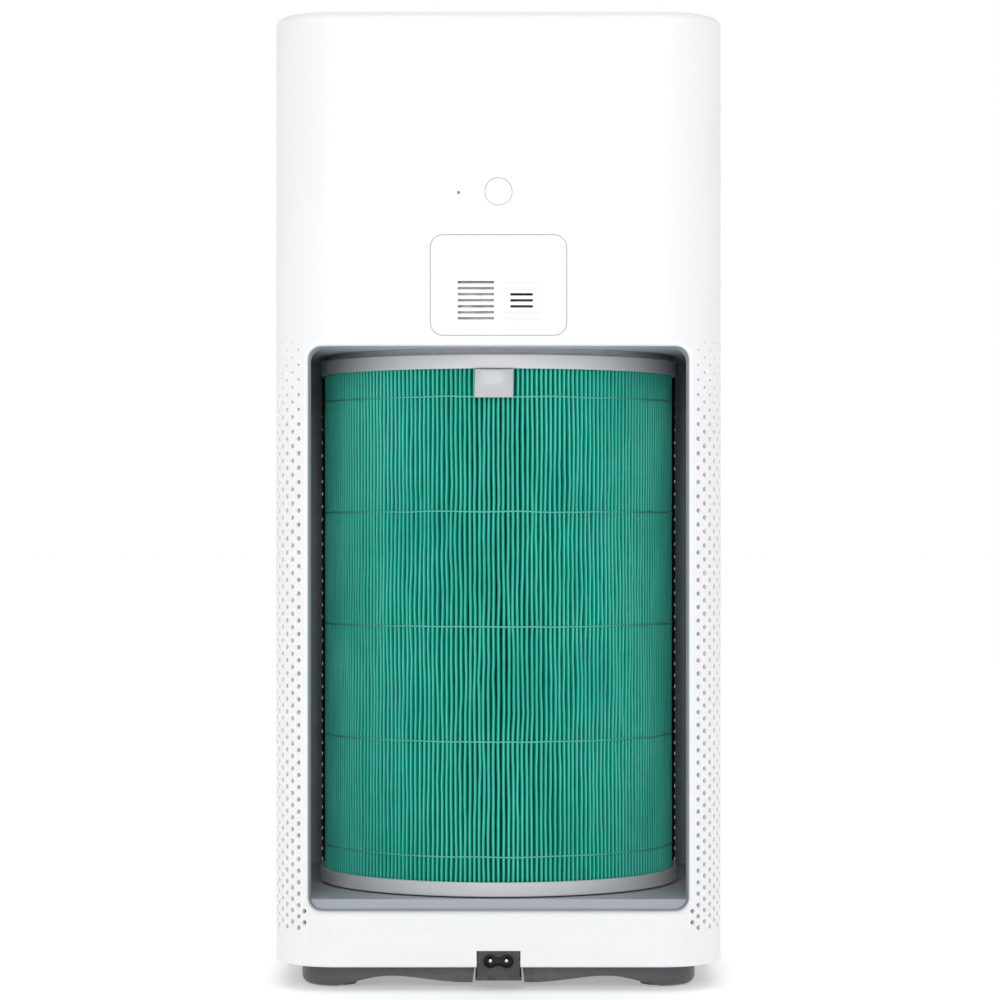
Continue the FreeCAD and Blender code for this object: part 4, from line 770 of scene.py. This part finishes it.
def button_cap(name, node, body, side):
    """A round push button: a shallow dish in its face, an eased edge and a flange behind the wall."""
    low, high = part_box(node)
    middle = middle_of(node)
    face = max(abs(low.y), abs(high.y))
    back = min(abs(low.y), abs(high.y))
    flange = (high.x - low.x) / 2
    dish = [(BUTTON_R * share, face - depth) for share, depth in BUTTON_DISH]
    rim = [(BUTTON_R - inset, face - depth) for inset, depth in BUTTON_RIM]
    seat = REAR - WALL - FLANGE_GAP
    foot = seat - FLANGE_THICK
    behind = [(BUTTON_R, seat), (flange, seat), (flange, foot), (BUTTON_R, foot), (BUTTON_R, back)]
    loop = dish + rim + behind + [(0.0, back)]
    points, faces = turned(loop, 72, facing(middle.x, middle.z, side))
    fit(solid(name, points, faces), body, "button_white", node)


def display_glass():
    """The dark round window, with its rim behind the wall."""
    low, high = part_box("display_window")
    face = -low.y
    back = -high.y
    rim = (high.x - low.x) / 2
    loop = [(0.0, face)] + [(DISPLAY_R - inset, face - depth) for inset, depth in WINDOW_RIM]
    loop += [(DISPLAY_R, REAR - WALL), (rim, REAR - WALL), (rim, back), (0.0, back)]
    points, faces = turned(loop, WINDOW_SIDES, facing(0.0, middle_of("display_window").z, -1))
    fit(solid("display_glass", points, faces), "housing", "window_dark", "display_window")


# ---- outlet grille
GRILLE_RINGS = 9
GRILLE_PITCH = 7.4 * MM
GRILLE_BAR = 1.0 * MM
GRILLE_RIBS = 12
GRILLE_EDGE = 3.7 * MM
EDGE_EASE = 0.8 * MM
HUB_RING = (0.1 * MM, 2.6 * MM)
HUB_RING_EASE = 0.6 * MM
FIRST_RING = 5.4 * MM
RING_FOOT = 1.8 * MM
RING_DROP = 1.2 * MM
SPOKE_FOOT = 0.6 * MM
SPOKE_DROP = 2.4 * MM
SPOKE_HALF = 1.1 * MM
SPOKE_EASE = 0.7 * MM
SPOKE_LAP = 1.0 * MM
CAP_EDGE_R = 1.6 * MM
CAP_DOME = 0.3 * MM
CAP_FOOT = (1.5 * MM, 1.0 * MM)


def grille():
    """Rings of rounded bars on spokes, inside an edge ring."""
    low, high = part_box("outlet_grille")
    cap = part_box("grille_hub_cap")[1].x

    def bar(inner, outer, bottom, top, ease):
        return turned(eased([(inner, bottom), (outer, bottom), (outer, top), (inner, top)], ease, 3), 160)

    parts = [bar(high.x - GRILLE_EDGE, high.x, low.z, high.z, EDGE_EASE),
             bar(cap + HUB_RING[0], cap + HUB_RING[1], low.z + 1.0 * MM, high.z, HUB_RING_EASE)]
    for k in range(GRILLE_RINGS):
        middle = cap + FIRST_RING + GRILLE_PITCH * k
        parts.append(bar(middle - GRILLE_BAR, middle + GRILLE_BAR, low.z + RING_FOOT, high.z - RING_DROP,
                         EDGE_EASE))
    foot, top = low.z + SPOKE_FOOT, high.z - SPOKE_DROP
    box = [(-SPOKE_HALF, foot), (SPOKE_HALF, foot), (SPOKE_HALF, top), (-SPOKE_HALF, top)]
    section = eased(box, SPOKE_EASE, 3)
    size = len(section)
    for k in range(GRILLE_RIBS):
        turn = 2 * math.pi * k / GRILLE_RIBS
        out = Vector((math.cos(turn), math.sin(turn), 0.0))
        across = Vector((-math.sin(turn), math.cos(turn), 0.0))
        ends = [[out * reach + across * s.x + Vector((0, 0, s.y)) for s in section]
                for reach in (cap + SPOKE_LAP, high.x - SPOKE_LAP)]
        sides = [(j, (j + 1) % size, size + (j + 1) % size, size + j) for j in range(size)]
        parts.append((ends[0] + ends[1], sides + [tuple(range(size)), tuple(range(size, 2 * size))]))
    fit(solid("top_grille", *together(parts)), "housing", "grille_white", "outlet_grille")


def hub_cap():
    low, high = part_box("grille_hub_cap")
    radius = high.x
    edge_x, edge_z = radius - CAP_EDGE_R, high.z - CAP_EDGE_R - CAP_DOME
    loop = [(0.0, low.z), (radius - CAP_FOOT[0], low.z), (radius, low.z + CAP_FOOT[1])]
    for k in range(7):
        turn = math.pi / 2 * k / 6
        loop.append((edge_x + CAP_EDGE_R * math.cos(turn), edge_z + CAP_EDGE_R * math.sin(turn)))
    loop += [(radius * 0.6, high.z - 0.08 * MM), (0.0, high.z)]
    fit(solid("grille_cap", *turned(loop, 128)), "housing", "cap_grey", "grille_hub_cap")


# ---- shader groups: effects that several finishes share
def srgb(red, green, blue):
    """A display colour, 0 to 255, as the shader's linear colour."""
    def linear(value):
        value /= 255
        return value / 12.92 if value <= 0.04045 else ((value + 0.055) / 1.055) ** 2.4
    return (linear(red), linear(green), linear(blue), 1.0)


def effect(name, inputs, outputs):
    """A new shader node group with float inputs (name, default) and float outputs."""
    tree = bpy.data.node_groups.new(name, "ShaderNodeTree")
    for label, value in inputs:
        socket = tree.interface.new_socket(name=label, in_out="INPUT", socket_type="NodeSocketFloat")
        socket.default_value = value
    for label in outputs:
        tree.interface.new_socket(name=label, in_out="OUTPUT", socket_type="NodeSocketFloat")
    return tree, tree.nodes.new("NodeGroupInput"), tree.nodes.new("NodeGroupOutput")


def node(tree, kind, **values):
    """A node with its input sockets set or linked by name, and its own properties set."""
    made = tree.nodes.new("ShaderNode" + kind)
    for label, value in values.items():
        label = label.replace("_", " ")
        if hasattr(made, label.replace(" ", "_")) and label.islower():
            setattr(made, label.replace(" ", "_"), value)
            continue
        put(tree, made.inputs[label], value)
    return made


def put(tree, socket, value):
    if isinstance(value, bpy.types.NodeSocket):
        tree.links.new(value, socket)
    else:
        socket.default_value = value


def maths(tree, operation, *values):
    made = tree.nodes.new("ShaderNodeMath")
    made.operation = operation
    for socket, value in zip(made.inputs, values):
        put(tree, socket, value)
    return made.outputs[0]


def blended(tree, share, first, second):
    """A colour that goes from first to second with a mask."""
    made = tree.nodes.new("ShaderNodeMix")
    made.data_type = "RGBA"
    put(tree, made.inputs[0], share)
    put(tree, made.inputs[6], first)
    put(tree, made.inputs[7], second)
    return made.outputs[2]


def spread(tree, value, low, high, out_low=0.0, out_high=1.0):
    made = node(tree, "MapRange", From_Min=low, From_Max=high, To_Min=out_low, To_Max=out_high)
    put(tree, made.inputs["Value"], value)
    return made.outputs["Result"]


def place_in(tree):
    return tree.nodes.new("ShaderNodeTexCoord").outputs["Object"]


def stretched(tree, *scale):
    return node(tree, "Mapping", Vector=place_in(tree), Scale=scale).outputs["Vector"]


def clouds(tree, scale, detail, where=None, **more):
    """Noise over the object, or over another place."""
    made = node(tree, "TexNoise", Vector=where or place_in(tree), Scale=scale, Detail=detail, **more)
    return made.outputs["Fac"]


def moulded_grain():
    """Spark-etched grain of a moulded face: a fine height, and a slow mottle of its colour."""
    tree, given, result = effect("moulded_grain", [("Scale", 2000.0)], ["Height", "Mottle"])
    fine = clouds(tree, given.outputs["Scale"], 2.0, Roughness=0.6)
    pits = node(tree, "TexVoronoi", Vector=place_in(tree), Scale=given.outputs["Scale"])
    height = maths(tree, "MULTIPLY_ADD", pits.outputs["Distance"], 0.5, fine)
    slow = clouds(tree, 14.0, 4.0, Roughness=0.55)
    tree.links.new(height, result.inputs["Height"])
    tree.links.new(spread(tree, slow, 0.3, 0.7), result.inputs["Mottle"])
    return tree


def worn_edges():
    """Where outer edges are rubbed: sharp outward edges, broken up by noise."""
    tree, given, result = effect("worn_edges", [("Reach", 0.06)], ["Mask"])
    shape = tree.nodes.new("ShaderNodeNewGeometry")
    breakup = clouds(tree, 160.0, 4.0, Roughness=0.7)
    edge = maths(tree, "SUBTRACT", shape.outputs["Pointiness"], 0.52)
    edge = maths(tree, "DIVIDE", edge, given.outputs["Reach"])
    rubbed = maths(tree, "MULTIPLY", edge, spread(tree, breakup, 0.35, 0.7))
    clipped = maths(tree, "MINIMUM", maths(tree, "MAXIMUM", rubbed, 0.0), 1.0)
    tree.links.new(clipped, result.inputs["Mask"])
    return tree


def settled_dust():
    """Fine dust on faces that look up, in soft patches."""
    tree, given, result = effect("settled_dust", [("Amount", 0.3)], ["Mask"])
    shape = tree.nodes.new("ShaderNodeNewGeometry")
    parts = node(tree, "SeparateXYZ", Vector=shape.outputs["Normal"])
    patches = clouds(tree, 55.0, 6.0, Roughness=0.7)
    up = maths(tree, "POWER", maths(tree, "MAXIMUM", parts.outputs["Z"], 0.0), 2.0)
    film = maths(tree, "MULTIPLY", up, spread(tree, patches, 0.35, 0.75))
    tree.links.new(maths(tree, "MULTIPLY", film, given.outputs["Amount"]), result.inputs["Mask"])
    return tree


def handling_marks():
    """Faint wipe marks and hairlines that change a face's gloss."""
    tree, given, result = effect("handling_marks", [("Scale", 30.0)], ["Mask"])
    long = stretched(tree, 1.0, 1.0, 6.0)
    lines = clouds(tree, given.outputs["Scale"], 8.0, long, Roughness=0.75, Distortion=0.6)
    smears = clouds(tree, 9.0, 3.0)
    mask = maths(tree, "MULTIPLY", spread(tree, lines, 0.4, 0.75), spread(tree, smears, 0.35, 0.65))
    tree.links.new(mask, result.inputs["Mask"])
    return tree


def laid_fibres():
    """The felted fibres of paper, foam and cloth: a fine height, and clumps of lighter fibre."""
    tree, given, result = effect("laid_fibres", [("Scale", 900.0)], ["Height", "Clumps"])
    long = stretched(tree, 1.0, 1.0, 0.35)
    strands = clouds(tree, given.outputs["Scale"], 5.0, long, Roughness=0.7, Distortion=1.2)
    clumps = clouds(tree, 120.0, 5.0, Roughness=0.65)
    tree.links.new(strands, result.inputs["Height"])
    tree.links.new(spread(tree, clumps, 0.3, 0.72), result.inputs["Clumps"])
    return tree


def drawn_metal():
    """Turning and drawing lines round the upright axis of a metal part."""
    tree, given, result = effect("drawn_metal", [("Scale", 700.0)], ["Height", "Mask"])
    lines = clouds(tree, given.outputs["Scale"], 3.0, stretched(tree, 0.15, 0.15, 1.0))
    spots = clouds(tree, 180.0, 5.0)
    tree.links.new(lines, result.inputs["Height"])
    tree.links.new(spread(tree, spots, 0.35, 0.7), result.inputs["Mask"])
    return tree


effects = {make.__name__: make() for make in
           (moulded_grain, worn_edges, settled_dust, handling_marks, laid_fibres, drawn_metal)}


def use(tree, name, **values):
    made = tree.nodes.new("ShaderNodeGroup")
    made.node_tree = effects[name]
    for label, value in values.items():
        put(tree, made.inputs[label], value)
    return made.outputs


finishes = {}


def new_finish(name):
    """A new material, kept under its name, with its node tree and its shader."""
    finish = bpy.data.materials.new(name)
    finishes[name] = finish
    finish.use_nodes = True
    tree = finish.node_tree
    tree.nodes.clear()
    shader = tree.nodes.new("ShaderNodeBsdfPrincipled")
    output = tree.nodes.new("ShaderNodeOutputMaterial")
    tree.links.new(shader.outputs["BSDF"], output.inputs["Surface"])
    return tree, shader


def bumped(tree, shader, height, distance, strength=1.0):
    bump = node(tree, "Bump", Strength=strength, Distance=distance, Height=height)
    tree.links.new(bump.outputs["Normal"], shader.inputs["Normal"])


def plastic(name, colour, rough, grain=2200.0, depth=0.006 * MM, mottled=0.97, worn=1.06, wear=0.35, dust=0.2,
            dust_colour=(0.5, 0.49, 0.47, 1.0), coat=0.0):
    """Moulded plastic: mottled colour, paler rubbed edges, settled dust, an etched grain and uneven gloss."""
    tree, shader = new_finish(name)
    surface = use(tree, "moulded_grain", Scale=grain)
    marks = use(tree, "handling_marks", Scale=30.0)["Mask"]
    edges = use(tree, "worn_edges", Reach=0.08)["Mask"]
    film = use(tree, "settled_dust", Amount=dust)["Mask"]
    darker = tuple(c * mottled for c in colour[:3]) + (1.0,)
    paler = tuple(min(1.0, c * worn + (worn - 1) * 0.1) for c in colour[:3]) + (1.0,)
    base = blended(tree, surface["Mottle"], colour, darker)
    base = blended(tree, maths(tree, "MULTIPLY", edges, wear), base, paler)
    base = blended(tree, film, base, dust_colour)
    tree.links.new(base, shader.inputs["Base Color"])
    gloss = maths(tree, "MULTIPLY_ADD", marks, 0.1, rough)
    gloss = maths(tree, "MULTIPLY_ADD", edges, -0.08, gloss)
    tree.links.new(maths(tree, "MULTIPLY_ADD", film, 0.4, gloss), shader.inputs["Roughness"])
    bumped(tree, shader, surface["Height"], depth)
    shader.inputs["Coat Weight"].default_value = coat
    shader.inputs["Coat Roughness"].default_value = 0.12


def metal(name, colour, rough, spots, grain=700.0, depth=0.004 * MM):
    """Bare or plated metal: drawing lines, duller spots and brighter edges."""
    tree, shader = new_finish(name)
    lines = use(tree, "drawn_metal", Scale=grain)
    edges = use(tree, "worn_edges", Reach=0.08)["Mask"]
    bright = tuple(min(1.0, c * 1.2) for c in colour[:3]) + (1.0,)
    base = blended(tree, maths(tree, "MULTIPLY", lines["Mask"], 0.5), colour, spots)
    base = blended(tree, maths(tree, "MULTIPLY", edges, 0.7), base, bright)
    tree.links.new(base, shader.inputs["Base Color"])
    gloss = maths(tree, "MULTIPLY_ADD", lines["Height"], 0.18, rough)
    tree.links.new(maths(tree, "MULTIPLY_ADD", lines["Mask"], 0.12, gloss), shader.inputs["Roughness"])
    shader.inputs["Metallic"].default_value = 1.0
    bumped(tree, shader, lines["Height"], depth)


def fibrous(name, colour, light, rough, fibres=900.0, depth=0.05 * MM, sheen=0.25, dust=0.1):
    """Paper, foam or cloth: clumps of lighter fibre, a felted surface and a soft sheen."""
    tree, shader = new_finish(name)
    felt = use(tree, "laid_fibres", Scale=fibres)
    film = use(tree, "settled_dust", Amount=dust)["Mask"]
    base = blended(tree, felt["Clumps"], colour, light)
    base = blended(tree, maths(tree, "MULTIPLY", felt["Height"], 0.35), base, light)
    tree.links.new(blended(tree, film, base, (0.4, 0.4, 0.38, 1.0)), shader.inputs["Base Color"])
    tree.links.new(maths(tree, "MULTIPLY_ADD", felt["Height"], 0.1, rough), shader.inputs["Roughness"])
    shader.inputs["Sheen Weight"].default_value = sheen
    shader.inputs["Sheen Roughness"].default_value = 0.5
    bumped(tree, shader, felt["Height"], depth)


def pleated(name, groove, face, tip):
    """Pleated paper: a painted highlight on the crests of the folds, deeper colour down their sides, felted
    all over.
    """
    tree, shader = new_finish(name)
    felt = use(tree, "laid_fibres", Scale=1100.0)
    where = tree.nodes.new("ShaderNodeTexCoord")
    level = node(tree, "VectorMath", operation="MULTIPLY")
    put(tree, level.inputs[0], where.outputs["Object"])
    level.inputs[1].default_value = (1.0, 1.0, 0.0)
    outward = node(tree, "VectorMath", operation="NORMALIZE")
    put(tree, outward.inputs[0], level.outputs["Vector"])
    crest = node(tree, "VectorMath", operation="DOT_PRODUCT")
    put(tree, crest.inputs[0], outward.outputs["Vector"])
    put(tree, crest.inputs[1], where.outputs["Normal"])
    # Faces that look outward, the crests of the folds, get the tip colour: a painted highlight, broken up by
    # slow noise.
    slow = clouds(tree, 22.0, 3.0, where.outputs["Object"])
    fold = spread(tree, crest.outputs["Value"], 0.5, 0.9)
    crest_highlight = maths(tree, "MULTIPLY", fold, spread(tree, slow, 0.3, 0.7, 0.6, 1.0))
    side = blended(tree, felt["Clumps"], groove, face)
    tree.links.new(blended(tree, crest_highlight, side, tip), shader.inputs["Base Color"])
    tree.links.new(maths(tree, "MULTIPLY_ADD", felt["Height"], 0.15, 0.4), shader.inputs["Roughness"])
    shader.inputs["Specular IOR Level"].default_value = 0.12
    bumped(tree, shader, felt["Height"], 0.04 * MM)


def circuit(name, colour, trace):
    """A lacquered circuit board: right-angled tracks under a glossy coat."""
    tree, shader = new_finish(name)
    cells = node(tree, "TexBrick", Vector=place_in(tree), Scale=90.0)
    for label, value in (("Color1", (0.0, 0.0, 0.0, 1.0)), ("Color2", (0.3, 0.3, 0.3, 1.0)),
                         ("Mortar", (1.0, 1.0, 1.0, 1.0)), ("Mortar Size", 0.03)):
        cells.inputs[label].default_value = value
    surface = use(tree, "moulded_grain", Scale=900.0)
    base = blended(tree, surface["Mottle"], colour, tuple(c * 0.85 for c in colour[:3]) + (1.0,))
    tree.links.new(blended(tree, cells.outputs["Color"], base, trace), shader.inputs["Base Color"])
    tree.links.new(maths(tree, "MULTIPLY_ADD", surface["Height"], 0.15, 0.25), shader.inputs["Roughness"])
    bumped(tree, shader, cells.outputs["Fac"], 0.03 * MM)
    shader.inputs["Coat Weight"].default_value = 0.4


def wound_wire(name, colour, dark):
    """Turns of enamelled wire side by side."""
    tree, shader = new_finish(name)
    turns = node(tree, "TexWave", Vector=place_in(tree), Scale=700.0, Distortion=0.4, Detail=1.0,
                 bands_direction="Z")
    lines = use(tree, "drawn_metal", Scale=900.0)
    tree.links.new(blended(tree, turns.outputs["Fac"], dark, colour), shader.inputs["Base Color"])
    tree.links.new(maths(tree, "MULTIPLY_ADD", lines["Mask"], 0.15, 0.3), shader.inputs["Roughness"])
    shader.inputs["Metallic"].default_value = 1.0
    bumped(tree, shader, turns.outputs["Fac"], 0.12 * MM)


def clear(name, colour, rough, through):
    """Clear or tinted plastic with faint wipe marks in its gloss."""
    tree, shader = new_finish(name)
    marks = use(tree, "handling_marks", Scale=25.0)["Mask"]
    surface = use(tree, "moulded_grain", Scale=1500.0)
    base = blended(tree, surface["Mottle"], colour, tuple(c * 0.9 for c in colour[:3]) + (1.0,))
    tree.links.new(base, shader.inputs["Base Color"])
    tree.links.new(maths(tree, "MULTIPLY_ADD", marks, 0.12, rough), shader.inputs["Roughness"])
    shader.inputs["Transmission Weight"].default_value = through
    shader.inputs["Coat Weight"].default_value = 0.6
    shader.inputs["Coat Roughness"].default_value = 0.04
    bumped(tree, shader, surface["Height"], 0.001 * MM)


def dusty(name, colour, rough, **looks):
    """Dark plastic, on which grey dust shows."""
    plastic(name, colour, rough, dust_colour=(0.42, 0.41, 0.39, 1.0), **looks)


plastic("housing_white", srgb(241, 241, 242), 0.42, dust=0.05)
# Dark slate on the inner faces of the housing wall: painted shade.
dusty("painted_shade_inside", srgb(52, 62, 68), 0.6, grain=900.0, depth=0.02 * MM, dust=0.15)
plastic("cover_white", srgb(240, 240, 241), 0.4, dust=0.05)
plastic("button_white", srgb(239, 239, 240), 0.26, grain=3000.0, depth=0.002 * MM, coat=0.3)
plastic("grille_white", srgb(234, 234, 233), 0.4, dust=0.3)
plastic("cap_grey", srgb(186, 188, 192), 0.25, grain=3000.0, depth=0.002 * MM, coat=0.4)
plastic("liner_grey", srgb(196, 197, 207), 0.45, dust=0.25, dust_colour=(0.6, 0.59, 0.57, 1.0))
dusty("base_grey", srgb(84, 84, 87), 0.42, grain=1500.0, depth=0.02 * MM, worn=1.7, dust=0.25)
dusty("inlet_black", srgb(42, 42, 44), 0.4, grain=1400.0, depth=0.02 * MM, worn=2.0, dust=0.2)
metal("pin_metal", srgb(226, 221, 210), 0.18, srgb(190, 180, 160))
dusty("rubber_dark", srgb(38, 38, 39), 0.7, grain=900.0, depth=0.03 * MM, worn=1.5, dust=0.3)
plastic("ring_grey", srgb(206, 208, 210), 0.34, grain=1800.0, depth=0.005 * MM, dust=0.2)
# The last colour is the painted highlight on the crests of the folds.
pleated("media_green", srgb(1, 138, 119), srgb(2, 154, 134), srgb(112, 236, 214))
plastic("glue_green", srgb(84, 178, 160), 0.35, grain=900.0, depth=0.03 * MM, coat=0.2)
fibrous("carbon_black", srgb(28, 28, 29), srgb(52, 52, 54), 0.9, fibres=500.0, depth=0.2 * MM, sheen=0.15)
plastic("core_grey", srgb(176, 178, 180), 0.45)
plastic("tab_grey", srgb(188, 188, 190), 0.3, grain=1200.0, depth=0.01 * MM, coat=0.35)
dusty("fan_grey", srgb(96, 97, 100), 0.45, grain=1500.0, depth=0.015 * MM, worn=1.4, dust=0.35)
plastic("impeller_grey", srgb(142, 144, 147), 0.4, grain=1500.0, depth=0.01 * MM, dust=0.3)
fibrous("seal_grey", srgb(170, 171, 178), srgb(196, 197, 203), 0.9, fibres=1400.0, depth=0.15 * MM)
fibrous("foam_dark", srgb(50, 50, 52), srgb(80, 80, 82), 0.95, fibres=1400.0, depth=0.15 * MM)
metal("steel", srgb(196, 197, 200), 0.22, srgb(150, 150, 152))
metal("lamination", srgb(120, 121, 124), 0.45, srgb(84, 78, 72), grain=1600.0, depth=0.02 * MM)
wound_wire("copper", srgb(214, 128, 78), srgb(110, 52, 28))
circuit("board_green", srgb(38, 110, 62), srgb(150, 172, 92))
dusty("part_black", srgb(40, 40, 42), 0.35, grain=1800.0, worn=1.6, dust=0.2)
dusty("lead_grey", srgb(66, 66, 68), 0.5, grain=1200.0, depth=0.01 * MM, worn=1.3, dust=0.2)
clear("window_dark", srgb(16, 17, 20), 0.06, 0.0)
clear("light_clear", srgb(70, 78, 88), 0.12, 0.4)


def dress_frame():
    """Every CAD node takes the finish of its own slot; the upper seal is the paler foam."""
    for part in frame["record"]["subparts"]:
        mesh = frame["nodes"][part["node"]].data
        mesh.materials.clear()
        mesh.materials.append(finishes[part["material_slot"]])
    upper_seal = frame["nodes"]["upper_seal"].data
    upper_seal.materials.clear()
    upper_seal.materials.append(finishes["seal_grey"])


# ---- studio
FLOOR_SIZE = 60.0
FLOOR_GLOW = 0.34
FLOOR_TINTS = ((0.93, 0.93, 0.93, 1.0), (0.91, 0.91, 0.91, 1.0))
WHITE = (1.0, 1.0, 1.0, 1.0)
LAMP_AIM = Vector((0, 0, 0.25))
SWEEP = (-0.75, 0.35)
SHADE = (0.5, 0.5, 0.51, 1.0)
LAMPS = (("key", (0.1, 3.2, 1.1), 1.6, 33.0), ("top", (0.0, -0.4, 2.8), 2.2, 8.0))
CAMERA_PLACE = (0.0, 1.880, 0.2425)
CAMERA_LENS = 119.5
CAMERA_SHIFT = (0.0015, 0.034)


def studio():
    mesh = bpy.data.meshes.new("floor")
    shape = bmesh.new()
    half = FLOOR_SIZE / 2
    corners = ((-half, -half, 0), (half, -half, 0), (half, half, 0), (-half, half, 0))
    shape.faces.new([shape.verts.new(p) for p in corners])
    shape.to_mesh(mesh)
    shape.free()
    floor = placed("floor", mesh)
    tree, shader = new_finish("floor_paper")
    tint = blended(tree, clouds(tree, 1.5, 2.0), *FLOOR_TINTS)
    tree.links.new(tint, shader.inputs["Base Color"])
    shader.inputs["Roughness"].default_value = 0.9
    shader.inputs["Emission Color"].default_value = WHITE
    shader.inputs["Emission Strength"].default_value = FLOOR_GLOW
    mesh.materials.append(finishes["floor_paper"])
    world = bpy.data.worlds.new("studio")
    bpy.context.scene.world = world
    world.use_nodes = True
    sky = world.node_tree
    way = node(sky, "SeparateXYZ", Vector=sky.nodes.new("ShaderNodeTexCoord").outputs["Generated"])
    sweep = spread(sky, way.outputs["Y"], *SWEEP)
    tint = blended(sky, sweep, WHITE, SHADE)
    sky.links.new(tint, sky.nodes["Background"].inputs["Color"])
    for name, place, size, power in LAMPS:
        light = bpy.data.lights.new(name, "AREA")
        light.size = size
        light.energy = power
        lamp = placed(name, light)
        lamp.location = place
        lamp.rotation_euler = (LAMP_AIM - Vector(place)).to_track_quat("-Z", "Y").to_euler()
    camera = placed("camera", bpy.data.cameras.new("camera"))
    camera.location = CAMERA_PLACE
    camera.rotation_euler = (math.pi / 2, 0.0, math.pi)
    camera.data.lens = CAMERA_LENS
    camera.data.shift_x, camera.data.shift_y = CAMERA_SHIFT
    bpy.context.scene.camera = camera
    bpy.context.scene.view_settings.view_transform = "Standard"


dress_frame()
housing()
filter_paper()
glue_lines()
filter_rings()
pull_strap()
sensor_lid()
button_cap("rear_key", "rear_button", "rear_key", 1)
button_cap("power_key", "power_button", "power_key", -1)
display_glass()
grille()
hub_cap()
studio()
